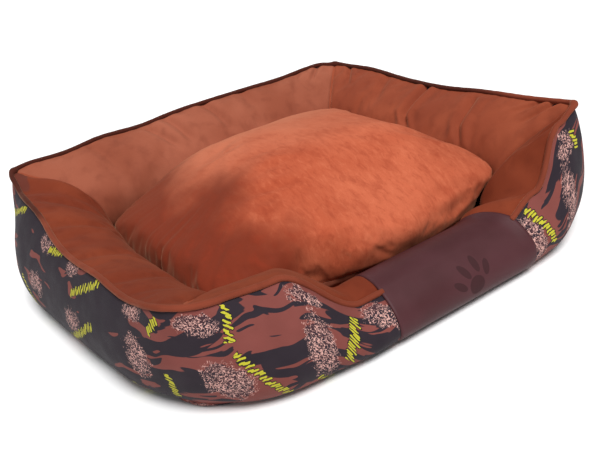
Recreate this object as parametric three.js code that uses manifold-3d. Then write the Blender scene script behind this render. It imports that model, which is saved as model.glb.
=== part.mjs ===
// A rectangular pet bed with stuffed bolster walls, a low entry in the front wall and a loose cushion.
// Millimetres, +Z up, +X to the right and +Y to the back; the entry faces -Y.
// The origin is on the floor, under the middle of the whole bed.
//
// Every wall has one cross-section that changes as it goes round the bed. A place round the bed is
// given by s, in millimetres along the wall from the middle of the front, positive to the right.
import * as THREE from "three";
import Module from "manifold-3d";

const wasm = await Module();
wasm.setup();

// ---- Driving dimensions ----
const HALF_FRONT = 390; // wall length from the middle of the front or back to a corner
const HALF_SIDE = 340; // wall length from a corner to the middle of a side
const QUARTER = HALF_FRONT + HALF_SIDE;
const HALF_ROUND = 2 * QUARTER;
const CORNER_DRAW = 1.6; // how strongly a difference in length is left to the corners

// Outlines that the wall's cross-section is drawn through, from the floor seam outside to the one inside.
// The corner at the front left is rounder than the two at the back, and the one at the front right is sharper.
const RINGS = {
  floorOuter: { halfX: 396, halfY: 350, radius: 195, leftRadius: 205, rightRadius: 178 },
  bellyLow: { halfX: 449, halfY: 404, radius: 240, leftRadius: 252, rightRadius: 215 },
  bellyHigh: { halfX: 450, halfY: 404, radius: 230, leftRadius: 240, rightRadius: 203 },
  rim: { halfX: 382, halfY: 336, radius: 30, leftRadius: 75, rightRadius: 16 },
  crown: { halfX: 331, halfY: 285, radius: 34, leftRadius: 48, rightRadius: 30 },
  innerBulge: { halfX: 192, halfY: 146, radius: 40 },
  floorInner: { halfX: 332, halfY: 286, radius: 60, leftRadius: 60, rightRadius: 60 },
};
const RIM_BOW = 15; // how far the middle of the left rim stands out

// How far the foot of the wall stands to the right of its outline, at places round the bed: [s, x].
const FOOT_LEAN = [
  [-1460, 0],
  [-1330, 0],
  [-1070, -9],
  [-900, -9],
  [-480, 20],
  [-390, 15],
  [-240, 0],
  [240, 0],
  [420, 11],
  [760, 11],
  [1070, 0],
  [1460, 0],
];

// The rim's height at places round the bed: [s, z].
const RIM_HEIGHTS = [
  [-1460, 217],
  [-1120, 214],
  [-1070, 212],
  [-990, 190],
  [-730, 163],
  [-500, 165],
  [-390, 177],
  [-238, 166],
  [-112, 79],
  [178, 80],
  [262, 110],
  [345, 196],
  [390, 214],
  [730, 198],
  [1070, 207],
  [1120, 212],
  [1460, 217],
];
// How slim the wall is on its inner side, from 0 to 1: it has least stuffing round the front right corner.
const SLIMNESS = [
  [-1460, 0],
  [215, 0],
  [290, 1],
  [420, 1],
  [600, 0],
  [1460, 0],
];
const SLIM_BULGE = 38; // how much further out the slim wall's bulge lies
const SLIM_CROWN = 20; // how much lower its crown lies
const LOW_RIM = 80; // the rim's height in the entry
const HIGH_RIM = 175; // the height from which a wall counts as a full one
const LOW_RIM_OUT = 16; // how much further out the rim lies in the entry

const BASE_THICK = 2;
const PAD_THICK = 12;
const PAD_INSET = 28; // the pad ends this far inside the inner floor seam, between the bolsters
const LINING_THICK = 2;
const GAP = 0.3;
const FABRIC_THICK = 2.5;
const FILL_GAP = 0.9; // between a panel and the stuffing behind it
const SEAM_GAP = 0.6; // between two panels, along the wall

const ENTRY_LEFT = -72; // where the entry panel starts and ends, along the wall
const ENTRY_RIGHT = 202;

const PIPING_RADIUS = 4.6;
const PIPING_CORD_RADIUS = 2.1;
const PIPING_FLANGE = 4; // how far the piping's sewn edge reaches down between the panels

const PAD_TOP = BASE_THICK + GAP + PAD_THICK;
const FLOOR_TOP = PAD_TOP + GAP + LINING_THICK;

// ---- Small helpers ----
const lerp = (a, b, t) => a + (b - a) * t;
const clamp01 = (t) => Math.min(1, Math.max(0, t));
const smooth = (t) => t * t * (3 - 2 * t);

function wrap(s) {
  const full = 2 * HALF_ROUND;
  return ((((s + HALF_ROUND) % full) + full) % full) - HALF_ROUND;
}

// A point on an outline. Near the middle of a side it lies s away from the middle, on every outline;
// an outline shorter than the wall's nominal one is drawn together towards its corners.
function ringPoint({ halfX, halfY, radius: plain, leftRadius = plain, rightRadius = plain }, s, draw = CORNER_DRAW) {
  const t = wrap(s);
  const radius = Math.abs(t) >= QUARTER ? plain : t < 0 ? leftRadius : rightRadius;
  const fold = Math.abs(t) > QUARTER ? HALF_ROUND - Math.abs(t) : Math.abs(t);
  const alongFront = fold <= HALF_FRONT;
  const half = alongFront ? halfX : halfY;
  const nominal = alongFront ? HALF_FRONT : HALF_SIDE;
  const away = alongFront ? fold : QUARTER - fold;
  const excess = nominal - (half - radius + (radius * Math.PI) / 4);
  const run = away - excess * (away / nominal) ** draw;
  const angle = Math.max(0, run - (half - radius)) / radius;
  const along = Math.min(run, half - radius) + radius * Math.sin(angle);
  const across = radius * (1 - Math.cos(angle));
  const x = alongFront ? along : halfX - across;
  const y = alongFront ? halfY - across : along;
  return new THREE.Vector2(t < 0 ? -x : x, Math.abs(t) > QUARTER ? y : -y);
}

const grown = (ring, by) => Object.fromEntries(Object.entries(ring).map(([name, value]) => [name, value + by]));

// The value at s of a table of places and values.
function between(table, s) {
  const t = wrap(s);
  const next = Math.max(1, table.findIndex(([place]) => place >= t));
  const [s0, value0] = table[next - 1];
  const [s1, value1] = table[next];
  return lerp(value0, value1, smooth((t - s0) / (s1 - s0)));
}
const rimHeight = (s) => between(RIM_HEIGHTS, s);

// 1 in the entry, where the front wall is low, and 0 where it has its full height.
function lowness(s) {
  return clamp01((HIGH_RIM - rimHeight(s)) / (HIGH_RIM - LOW_RIM)) * (Math.abs(wrap(s)) < HALF_FRONT ? 1 : 0);
}

function rimPoint(s) {
  const t = wrap(s);
  const p = ringPoint(RINGS.rim, t);
  const onLeft = Math.abs(t + QUARTER) < HALF_SIDE;
  if (onLeft) p.x -= RIM_BOW * Math.cos((p.y / RINGS.rim.halfY) * (Math.PI / 2)) ** 2;
  p.y -= LOW_RIM_OUT * lowness(s);
  return new THREE.Vector3(p.x, p.y, rimHeight(s));
}

const at = (ring, s, z, shiftX = 0, shiftY = 0) => {
  const p = ringPoint(ring, s);
  return new THREE.Vector3(p.x + shiftX, p.y + shiftY, z);
};

// The wall's outer skin: v runs from the floor seam, 0, to the rim, 1.
function outerSkin(s, v) {
  const top = rimHeight(s);
  const lean = between(FOOT_LEAN, s);
  return new THREE.CubicBezierCurve3(
    at(RINGS.floorOuter, s, BASE_THICK + GAP, lean),
    at(RINGS.bellyLow, s, 0.05 * top, lean),
    at(RINGS.bellyHigh, s, 0.62 * top, lean),
    rimPoint(s),
  ).getPoint(v);
}

// The wall's inner skin: v runs from the rim, 0, to the floor seam inside, 1.
function innerSkin(s, v) {
  const top = rimHeight(s);
  const low = lowness(s);
  const slim = between(SLIMNESS, s);
  const { halfX, halfY, radius } = RINGS.innerBulge;
  const bulge = { halfX: halfX + SLIM_BULGE * slim, halfY: halfY + SLIM_BULGE * slim, radius };
  return new THREE.CubicBezierCurve3(
    rimPoint(s),
    at(RINGS.crown, s, top + lerp(-15, 26, low) - SLIM_CROWN * slim, 0, -30 * low),
    at(bulge, s, lerp(lerp(0.65, 0.88, low), 0.38, slim) * top, 0, -84 * low),
    at(RINGS.floorInner, s, BASE_THICK + GAP),
  ).getPoint(v);
}

// A skin's point moved into the wall by a depth, square to the skin.
function under(skin, s, v, depth, inward) {
  const step = 0.5;
  const small = 0.004;
  const p = skin(s, v);
  const alongS = skin(s + step, v).sub(skin(s - step, v));
  const alongV = skin(s, Math.min(1, v + small)).sub(skin(s, Math.max(0, v - small)));
  const normal = alongS.cross(alongV).normalize();
  return p.addScaledVector(normal, inward * depth);
}
const underOuter = (s, v, depth) => under(outerSkin, s, v, depth, -1);
const underInner = (s, v, depth) => under(innerSkin, s, v, depth, -1);

// Evenly shared values from a to b.
const shares = (count, a = 0, b = 1) => Array.from({ length: count + 1 }, (_, i) => lerp(a, b, i / count));

// Places round the bed at which every wall piece has a cross-section, so that their faces lie parallel:
// wide steps on straight stretches, short ones where the rim turns or slopes.
const PANEL_ENDS = [-1070, -390, ENTRY_LEFT, ENTRY_RIGHT, 390, 1070];
const TIGHT = [
  [-1118, -1022],
  [-438, -342],
  [-250, -100],
  [190, 438],
  [1022, 1118],
];
function makePlaces(wide, near) {
  const found = [-HALF_ROUND];
  const stops = [...TIGHT.flat(), ...PANEL_ENDS, HALF_ROUND].sort((p, q) => p - q);
  for (const stop of stops) {
    const from = found[found.length - 1];
    const middle = (from + stop) / 2;
    const step = TIGHT.some(([a, b]) => middle > a && middle < b) ? near : wide;
    const count = Math.max(1, Math.round((stop - from) / step));
    for (let i = 1; i <= count; i++) found.push(lerp(from, stop, i / count));
  }
  return found.slice(1);
}
const PLACES = makePlaces(62, 19);

// The places from s0 to s1, drawn in by a margin at both ends.
function stations(s0, s1, margin = SEAM_GAP / 2) {
  const full = 2 * HALF_ROUND;
  const all = [...PLACES.map((s) => s - full), ...PLACES, ...PLACES.map((s) => s + full)];
  return [s0 + margin, ...all.filter((s) => s > s0 + 1 && s < s1 - 1), s1 - margin];
}

// ---- Closed bodies from loops of points ----
class Faces {
  constructor() {
    this.corners = [];
  }
  triangle(a, b, c) {
    this.corners.push(a.x, a.y, a.z, b.x, b.y, b.z, c.x, c.y, c.z);
  }
  // Split along the shorter diagonal, so that neighbouring skins split alike.
  quad(a, b, c, d) {
    if (a.distanceToSquared(c) <= b.distanceToSquared(d)) {
      this.triangle(a, b, c);
      this.triangle(a, c, d);
    } else {
      this.triangle(b, c, d);
      this.triangle(b, d, a);
    }
  }
  band(loopA, loopB) {
    loopA.forEach((_, i) => {
      const j = (i + 1) % loopA.length;
      this.quad(loopA[i], loopA[j], loopB[j], loopB[i]);
    });
  }
  fan(loop, flip) {
    const centre = loop.reduce((sum, p) => sum.add(p), new THREE.Vector3()).divideScalar(loop.length);
    loop.forEach((p, i) => {
      const q = loop[(i + 1) % loop.length];
      this.triangle(centre, ...(flip ? [q, p] : [p, q]));
    });
  }
  // The end of a thin panel, whose loop goes up one face and down the other.
  ladder(loop, flip) {
    const last = loop.length - 1;
    for (let i = 0; i < loop.length / 2 - 1; i++) {
      const rung = [loop[i], loop[i + 1], loop[last - i - 1], loop[last - i]];
      this.quad(...(flip ? rung.reverse() : rung));
    }
  }
  // The body as a geometry with its faces pointing out.
  geometry() {
    const c = this.corners;
    let volume = 0;
    for (let i = 0; i < c.length; i += 9) {
      volume +=
        c[i] * (c[i + 4] * c[i + 8] - c[i + 5] * c[i + 7]) +
        c[i + 1] * (c[i + 5] * c[i + 6] - c[i + 3] * c[i + 8]) +
        c[i + 2] * (c[i + 3] * c[i + 7] - c[i + 4] * c[i + 6]);
    }
    if (volume < 0) {
      for (let i = 0; i < c.length; i += 9) {
        for (let k = 0; k < 3; k++) [c[i + 3 + k], c[i + 6 + k]] = [c[i + 6 + k], c[i + 3 + k]];
      }
    }
    const made = new THREE.BufferGeometry();
    made.setAttribute("position", new THREE.Float32BufferAttribute(c, 3));
    made.computeVertexNormals();
    return made;
  }
}

// A body swept through loops, closed at both ends by fans or, for a thin panel, by ladders.
function sweep(loops, end = "fan") {
  const faces = new Faces();
  for (let i = 0; i + 1 < loops.length; i++) faces.band(loops[i], loops[i + 1]);
  faces[end](loops[0], true);
  faces[end](loops[loops.length - 1], false);
  return faces.geometry();
}

// A bowl-shaped shell: loops from its edge to its middle outside, and the same inside.
function bowl(outside, inside) {
  const faces = new Faces();
  for (let i = 0; i + 1 < outside.length; i++) {
    faces.band(outside[i], outside[i + 1]);
    faces.band(inside[i + 1], inside[i]);
  }
  faces.fan(outside[outside.length - 1], false);
  faces.fan(inside[inside.length - 1], true);
  faces.band(inside[0], outside[0]);
  return faces.geometry();
}

// ---- Materials ----
const material = (color, roughness, metalness = 0) =>
  new THREE.MeshStandardMaterial({ color, roughness, metalness });
const MATERIALS = {
  print: material(0x4a3230, 0.85),
  velour: material(0x9a4e33, 0.9),
  plush: material(0xc06a4c, 0.95),
  entry: material(0x543237, 0.5),
  base: material(0x2b2728, 0.9),
  lining: material(0x8a4630, 0.9),
  fill: material(0xe9e6df, 1),
  foam: material(0xd9d2bd, 1),
  cord: material(0xe4dccb, 0.9),
  tape: material(0x6b3526, 0.8),
  metal: material(0x9c8f7a, 0.35, 0.9),
  label: material(0xefeae0, 0.8),
};

const bed = new THREE.Group();
function add(name, geometry, look, parent = bed) {
  const mesh = new THREE.Mesh(geometry, MATERIALS[look]);
  mesh.name = name;
  parent.add(mesh);
  return mesh;
}

// ---- Base ----
function flatSheet(ring, inset, z0, thick, lean = () => 0) {
  const outline = new THREE.Shape();
  outline.setFromPoints(
    PLACES.map((s) => ringPoint(grown(ring, -inset), s).add(new THREE.Vector2(lean(s), 0))),
  );
  const geometry = new THREE.ExtrudeGeometry(outline, { depth: thick, bevelEnabled: false });
  return geometry.translate(0, 0, z0);
}

function makeBase() {
  const lean = (s) => between(FOOT_LEAN, s);
  add("base_fabric", flatSheet(RINGS.floorOuter, 0, 0, BASE_THICK, lean), "base");
  add("floor_pad", flatSheet(RINGS.floorInner, PAD_INSET, BASE_THICK + GAP, PAD_THICK), "foam");
  add("floor_lining", flatSheet(RINGS.floorInner, PAD_INSET, PAD_TOP + GAP, LINING_THICK), "lining");
}

// ---- Wall panels ----
const OUTER_ROWS = [0, 0.16, 0.32, 0.48, 0.64, 0.79, 0.9, 0.945];
const INNER_ROWS = [0.06, 0.12, 0.24, 0.38, 0.52, 0.66, 0.8, 0.9, 0.985];

function panelLoop(rows, skinUnder, s) {
  const face = rows.map((v) => skinUnder(s, v, 0));
  const back = rows.map((v) => skinUnder(s, v, FABRIC_THICK));
  return [...face, ...back.reverse()];
}

function wallPanel(s0, s1, rows, skinUnder) {
  return sweep(stations(s0, s1).map((s) => panelLoop(rows, skinUnder, s)), "ladder");
}

function makePanels() {
  const corner = HALF_FRONT;
  const backCorner = HALF_ROUND - HALF_FRONT;
  add("outer_panel_left_wrap", wallPanel(-backCorner, ENTRY_LEFT, OUTER_ROWS, underOuter), "print");
  add("outer_panel_right_wrap", wallPanel(ENTRY_RIGHT, backCorner, OUTER_ROWS, underOuter), "print");
  add("outer_panel_back", wallPanel(backCorner, 2 * HALF_ROUND - backCorner, OUTER_ROWS, underOuter), "print");
  add("inner_panel_front_left", wallPanel(-corner, ENTRY_LEFT, INNER_ROWS, underInner), "velour");
  add("inner_panel_front_right", wallPanel(ENTRY_RIGHT, corner, INNER_ROWS, underInner), "velour");
  add("inner_panel_right", wallPanel(corner, backCorner, INNER_ROWS, underInner), "velour");
  add("inner_panel_back", wallPanel(backCorner, 2 * HALF_ROUND - backCorner, INNER_ROWS, underInner), "velour");
  add("inner_panel_left", wallPanel(-backCorner, -corner, INNER_ROWS, underInner), "velour");
}

// The smooth panel that lies over the low part of the front wall, from the floor outside to the floor inside.
function makeEntryPanel() {
  const loops = stations(ENTRY_LEFT, ENTRY_RIGHT).map((s) => {
    const side = (depth) => [
      ...OUTER_ROWS.slice(0, -1).map((v) => underOuter(s, v, depth)),
      ...INNER_ROWS.slice(1).map((v) => underInner(s, v, depth)),
    ];
    return [...side(0), ...side(FABRIC_THICK).reverse()];
  });
  add("entry_panel", sweep(loops, "ladder"), "entry");
}

// ---- Stuffing of each wall ----
function fillLoop(s) {
  const low = lowness(s);
  const depth = FABRIC_THICK + FILL_GAP + 8 * low * (1 - low);
  const outer = [...OUTER_ROWS.slice(0, -2), lerp(0.9, 0.8, low)].map((v) => underOuter(s, v, depth));
  const inner = [lerp(0.12, 0.23, low), ...INNER_ROWS.slice(2)].map((v) => underInner(s, v, depth));
  const floor = BASE_THICK + GAP;
  const lean = between(FOOT_LEAN, s);
  const foot = [at(grown(RINGS.floorInner, 6), s, floor), at(grown(RINGS.floorOuter, -6), s, floor, lean)];
  return [...outer, ...inner, ...foot];
}

function makeFills() {
  const backCorner = HALF_ROUND - HALF_FRONT;
  const runs = {
    bolster_fill_front: [-HALF_FRONT, HALF_FRONT],
    bolster_fill_right: [HALF_FRONT, backCorner],
    bolster_fill_back: [backCorner, 2 * HALF_ROUND - backCorner],
    bolster_fill_left: [-backCorner, -HALF_FRONT],
  };
  for (const [name, [s0, s1]] of Object.entries(runs)) {
    add(name, sweep(stations(s0, s1, 1).map(fillLoop)), "fill");
  }
}

// ---- Piping along the rim ----
// A frame at the rim: across points out of the bed, and the piping's sewn edge points down.
function rimFrame(s) {
  const centre = rimPoint(s);
  const along = rimPoint(s + 2).sub(rimPoint(s - 2)).normalize();
  const down = new THREE.Vector3(0, 0, -1);
  down.addScaledVector(along, -down.dot(along)).normalize();
  return { centre, down, across: new THREE.Vector3().crossVectors(along, down) };
}

// A strip of fabric folded round the cord, its two edges lying together under it.
function pipingLoop(s) {
  const { centre, down, across } = rimFrame(s);
  const place = (x, y) => centre.clone().addScaledVector(across, x).addScaledVector(down, y);
  const arc = (radius, from, to, count) =>
    shares(count, from, to).map((a) => place(radius * Math.sin(a), radius * Math.cos(a)));
  const slit = 0.2;
  const half = 1.1;
  const outerStart = Math.asin(half / PIPING_RADIUS);
  const hollow = PIPING_CORD_RADIUS + 0.7;
  const innerStart = Math.asin(slit / hollow);
  const outer = arc(PIPING_RADIUS, outerStart, 2 * Math.PI - outerStart, 7);
  const inner = arc(hollow, 2 * Math.PI - innerStart, innerStart, 5);
  const reach = PIPING_RADIUS + PIPING_FLANGE;
  return [place(half, reach), ...outer, place(-half, reach), place(-slit, reach), ...inner, place(slit, reach)];
}

function makePiping() {
  const places = stations(ENTRY_RIGHT, 2 * HALF_ROUND + ENTRY_LEFT);
  add("piping_cover", sweep(places.map(pipingLoop), "ladder"), "velour");
  const cordLoops = places.map((s) => {
    const { centre, down, across } = rimFrame(s);
    return shares(5, 0, (5 / 6) * 2 * Math.PI).map((a) =>
      centre
        .clone()
        .addScaledVector(across, PIPING_CORD_RADIUS * Math.sin(a))
        .addScaledVector(down, PIPING_CORD_RADIUS * Math.cos(a)),
    );
  });
  add("piping_cord", sweep(cordLoops), "cord");
}

// ---- Care label, sewn into the floor seam at the back ----
const LABEL = { width: 34, length: 58, thick: 0.8, x: 190, standOff: 0.6 };
function makeLabel() {
  const s = HALF_ROUND - LABEL.x;
  const rows = shares(4, 0.03, 0.34);
  const loops = [s - LABEL.width / 2, s, s + LABEL.width / 2].map((place) => [
    ...rows.map((v) => underOuter(place, v, -LABEL.standOff - LABEL.thick)),
    ...rows.map((v) => underOuter(place, v, -LABEL.standOff)).reverse(),
  ]);
  add("care_label", sweep(loops, "ladder"), "label");
}

// ---- Loose cushion ----
const cushion = new THREE.Group();
const CUSHION = { halfX: 266, halfY: 220, entryX: 60, entryHalf: 210 };
// Heights; at each, how far the outline is drawn in, is pushed out over the entry, lies to the back and
// leans over the right bolster, the radius of its corners and of the one at the front right, and how far
// that one reaches into the bed's corner.
const CUSHION_SEAM = 48;
const TOP_LEVELS = [
  { z: CUSHION_SEAM + 0.15, inset: 0, out: 30, back: 0, right: 0, radius: 55, sharp: 52, reach: 6 },
  { z: 76, inset: -1, out: 34, back: 0, right: 0, radius: 55, sharp: 52, reach: 8 },
  { z: 106, inset: -1, out: 51, back: 0, right: 0, radius: 55, sharp: 52, reach: 16 },
  { z: 141, inset: 0, out: 50, back: 1, right: 2, radius: 58, sharp: 40, reach: 28 },
  { z: 158, inset: 14, out: 36, back: 3, right: 7, radius: 64, sharp: 46, reach: 31 },
  { z: 172, inset: 38, out: 24, back: 6, right: 8, radius: 78, sharp: 62, reach: 27 },
  { z: 185, inset: 76, out: 12, back: 10, right: 4, radius: 96, sharp: 84, reach: 15 },
  { z: 194, inset: 130, out: 4, back: 14, right: 1, radius: 80, sharp: 80, reach: 6 },
  { z: 197, inset: 180, out: 0, back: 16, right: 0, radius: 36, sharp: 36, reach: 2 },
];
const BOTTOM_LEVELS = [
  { z: CUSHION_SEAM - 0.15, inset: 0, out: 30, back: 0, right: 0, radius: 55, sharp: 52, reach: 6 },
  { z: 34, inset: 2, out: 28, back: 0, right: 0, radius: 55, sharp: 52, reach: 4 },
  { z: 23, inset: 14, out: 20, back: 0, right: 0, radius: 50, sharp: 50, reach: 0 },
  { z: FLOOR_TOP + GAP, inset: 38, out: 6, back: 0, right: 0, radius: 44, sharp: 44, reach: 0 },
];
const LEFT_DROP = 0.45; // the share of its height above the seam that the cushion loses at its left edge
const LEFT_DROP_FROM = 40; // how far left of the middle the drop begins
const LEFT_DROP_RUN = 225;
// The share lost over the entry and the front right corner, and where that drop begins and how far it
// runs, to the front and to the right.
const FRONT_DROP = { share: 0.4, front: 60, frontRun: 180, right: -150, rightRun: 170 };
const COVER_THICK = 2.5;

function cushionLoop({ z, inset, out, back, right, radius, sharp, reach }) {
  const ring = { halfX: CUSHION.halfX - inset, halfY: CUSHION.halfY - inset, radius, rightRadius: sharp };
  return shares(47, -HALF_ROUND, HALF_ROUND * (1 - 2 / 48)).map((s) => {
    const p = ringPoint(ring, s, 1);
    const across = clamp01(1 - Math.abs(p.x - CUSHION.entryX) / CUSHION.entryHalf);
    const facing = smooth(clamp01((-p.y / ring.halfY - 0.3) / 0.7));
    const toRight = smooth(clamp01((p.x - FRONT_DROP.right) / FRONT_DROP.rightRun));
    const toFront = smooth(clamp01((-p.y - FRONT_DROP.front) / FRONT_DROP.frontRun));
    const drop =
      LEFT_DROP * smooth(clamp01((-p.x - LEFT_DROP_FROM) / LEFT_DROP_RUN)) + FRONT_DROP.share * toRight * toFront;
    const cornered = (t) => smooth(clamp01((t - 0.35) / 0.65));
    const corner = reach * cornered(p.x / ring.halfX) * cornered(-p.y / ring.halfY);
    return new THREE.Vector3(
      p.x + right * smooth(clamp01(p.x / ring.halfX)) + corner,
      p.y + back - out * smooth(across) * facing - corner,
      z - Math.max(0, z - CUSHION_SEAM) * drop,
    );
  });
}

function makeCushion() {
  const thinner = (levels, depth, top) =>
    levels.map((l, i) => ({
      ...l,
      inset: l.inset + depth,
      z: i === 0 ? l.z : l.z + (top ? -depth : depth) * clamp01(l.inset / 30),
    }));
  const loops = (levels) => levels.map(cushionLoop);
  add("cushion_top_cover", bowl(loops(TOP_LEVELS), loops(thinner(TOP_LEVELS, COVER_THICK, true))), "plush", cushion);
  add(
    "cushion_bottom_cover",
    bowl(loops(BOTTOM_LEVELS), loops(thinner(BOTTOM_LEVELS, COVER_THICK, false))),
    "lining",
    cushion,
  );
  const depth = COVER_THICK + FILL_GAP;
  const lower = thinner(BOTTOM_LEVELS, depth, false).reverse();
  const upper = thinner(TOP_LEVELS, depth, true).slice(1);
  add("cushion_fill", sweep(loops([...lower, ...upper])), "fill", cushion);
}

// ---- Zip in the cushion's back seam ----
const ZIP = {
  half: 190, // half the length of the teeth
  face: CUSHION.halfY + 1, // the cushion's back
  tapeHeight: 13,
  tapeThick: 0.8,
  toothHeight: 1.3,
  toothDepth: 2,
  sliderLength: 9,
  slot: 1.7, // room between the slider's plate and its bridge
  pullLength: 15,
};
const block = (x0, x1, y0, y1, z0, z1) =>
  new THREE.BoxGeometry(x1 - x0, y1 - y0, z1 - z0).translate((x0 + x1) / 2, (y0 + y1) / 2, (z0 + z1) / 2);

// A closed three.js geometry as a solid that can be joined, and back.
function toSolid(geometry) {
  const flat = geometry.index ? geometry.toNonIndexed() : geometry;
  const positions = flat.getAttribute("position").array;
  const places = new Map();
  const vertProperties = [];
  const triVerts = Array.from({ length: positions.length / 3 }, (_, i) => {
    const p = positions.slice(3 * i, 3 * i + 3);
    const key = p.map((value) => Math.round(value * 1e4)).join();
    if (!places.has(key)) {
      places.set(key, places.size);
      vertProperties.push(...p);
    }
    return places.get(key);
  });
  return new wasm.Manifold(
    new wasm.Mesh({
      numProp: 3,
      vertProperties: new Float32Array(vertProperties),
      triVerts: new Uint32Array(triVerts),
    }),
  );
}
function toGeometry(solid) {
  const mesh = solid.getMesh();
  const made = new THREE.BufferGeometry();
  made.setAttribute("position", new THREE.BufferAttribute(Float32Array.from(mesh.vertProperties), 3));
  made.setIndex(new THREE.BufferAttribute(Uint32Array.from(mesh.triVerts), 1));
  return made;
}

function makeZip() {
  const { half, face, tapeHeight, tapeThick, toothHeight, toothDepth } = ZIP;
  const y0 = face + GAP;
  const seam = CUSHION_SEAM;
  const tapeFrom = 0.15 + toothHeight + GAP;
  for (const [name, sign] of [
    ["upper", 1],
    ["lower", -1],
  ]) {
    const span = (a, b) => [seam + sign * a, seam + sign * b].sort((p, q) => p - q);
    const tape = block(-half - 12, half + 12, y0, y0 + tapeThick, ...span(tapeFrom, tapeFrom + tapeHeight));
    add(`zip_tape_${name}`, tape, "tape", cushion);
    const teeth = block(-half, half, y0, y0 + toothDepth, ...span(0.15, 0.15 + toothHeight));
    add(`zip_teeth_${name}`, teeth, "tape", cushion);
  }
  const stopHalf = 1.4;
  for (const [name, x] of [
    ["closed", half + GAP],
    ["open", -half - GAP - 2.5],
  ]) {
    const stop = block(x, x + 2.5, y0, y0 + toothDepth, seam - stopHalf, seam + stopHalf);
    add(`zip_stop_${name}_end`, stop, "metal", cushion);
  }
}

// The slider runs on the teeth: a plate with two lips round them, and a bridge that holds the pull.
function makeSlider() {
  const { half, face, toothDepth, sliderLength, slot } = ZIP;
  const x1 = half - 0.5;
  const x0 = x1 - sliderLength;
  const seam = CUSHION_SEAM;
  const plateY = face + GAP + toothDepth + GAP;
  const lipY = plateY - 1.2;
  const bridgeY = plateY + 1.2 + slot;
  const parts = [
    block(x0, x1, plateY, plateY + 1.2, seam - 4, seam + 4),
    block(x0, x1, lipY, plateY + 0.1, seam - 4, seam - 2.9),
    block(x0, x1, lipY, plateY + 0.1, seam + 2.9, seam + 4),
    block(x0 + 1, x0 + 2, plateY + 1.1, bridgeY + 0.1, seam - 0.8, seam + 0.8),
    block(x1 - 2, x1 - 1, plateY + 1.1, bridgeY + 0.1, seam - 0.8, seam + 0.8),
    block(x0 + 1, x1 - 1, bridgeY, bridgeY + 1, seam - 0.8, seam + 0.8),
  ];
  const joined = parts.map(toSolid).reduce((sum, part) => sum.add(part));
  add("zip_slider", toGeometry(joined), "metal", cushion);

  // The pull: a tab whose end bar lies under the bridge and turns there.
  const pivotX = (x0 + x1) / 2;
  const pivotY = plateY + 1.2 + slot / 2;
  const barHalf = 0.5;
  const tab = new THREE.Shape();
  const width = 2.6;
  tab.moveTo(pivotX + barHalf, -width);
  tab.lineTo(pivotX + barHalf, width);
  tab.lineTo(pivotX - ZIP.pullLength + width, width);
  tab.absarc(pivotX - ZIP.pullLength + width, 0, width, Math.PI / 2, (3 * Math.PI) / 2, false);
  const eye = new THREE.Path();
  eye.moveTo(pivotX - barHalf, -1.3);
  eye.lineTo(pivotX - 5.5, -1.3);
  eye.lineTo(pivotX - 5.5, 1.3);
  eye.lineTo(pivotX - barHalf, 1.3);
  tab.holes.push(eye);
  const flat = new THREE.ExtrudeGeometry(tab, { depth: 2 * barHalf, bevelEnabled: false, curveSegments: 8 });
  flat.rotateX(Math.PI / 2).translate(0, pivotY + barHalf, seam);
  add("zip_pull", flat, "metal", cushion);
}

makeBase();
makeFills();
makePanels();
makeEntryPanel();
makePiping();
makeLabel();
makeCushion();
makeZip();
makeSlider();
bed.add(cushion);

// The walls aren't quite symmetrical, so the bed is centred on its own outline.
const outline = new THREE.Box3().setFromObject(bed);
const middle = outline.getCenter(new THREE.Vector3());
bed.position.set(-middle.x, -middle.y, 0);

export default bed;
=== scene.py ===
"""A pet cushion bed: stuffed bolster walls with a piped rim, a low entry and a loose plush cushion.

Metres, +Z up, the entry faces -Y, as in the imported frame. A place round the bed is s, the distance
along the wall from the middle of the front, positive to the right.
"""

import math

import bmesh
import bpy
import numpy as np
from mathutils import Matrix, Vector


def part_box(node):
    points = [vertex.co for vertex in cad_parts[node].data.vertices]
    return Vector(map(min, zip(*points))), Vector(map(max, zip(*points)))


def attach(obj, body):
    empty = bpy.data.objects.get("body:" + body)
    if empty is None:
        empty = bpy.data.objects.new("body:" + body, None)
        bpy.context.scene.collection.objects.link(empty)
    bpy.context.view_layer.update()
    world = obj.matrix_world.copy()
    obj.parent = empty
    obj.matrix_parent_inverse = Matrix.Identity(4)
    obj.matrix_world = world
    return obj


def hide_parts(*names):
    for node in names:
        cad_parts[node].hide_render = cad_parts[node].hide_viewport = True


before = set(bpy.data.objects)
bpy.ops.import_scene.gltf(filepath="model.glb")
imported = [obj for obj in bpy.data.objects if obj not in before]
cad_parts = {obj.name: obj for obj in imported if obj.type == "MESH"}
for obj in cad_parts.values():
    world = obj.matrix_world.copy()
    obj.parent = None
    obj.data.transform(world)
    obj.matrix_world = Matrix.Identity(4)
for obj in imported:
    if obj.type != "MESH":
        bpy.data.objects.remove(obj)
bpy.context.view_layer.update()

MM = 0.001


# ---- shape of the walls, as in the CAD
HALF_FRONT = 0.390
HALF_SIDE = 0.340
QUARTER = HALF_FRONT + HALF_SIDE
HALF_ROUND = 2 * QUARTER
BACK_CORNER = HALF_ROUND - HALF_FRONT
CORNER_DRAW = 1.6
ENTRY_LEFT = -0.072
ENTRY_RIGHT = 0.202
FLOOR = 2.3 * MM
LOW_RIM = 0.080
HIGH_RIM = 0.175
LOW_RIM_OUT = 0.016
RIM_BOW = 0.015

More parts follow.
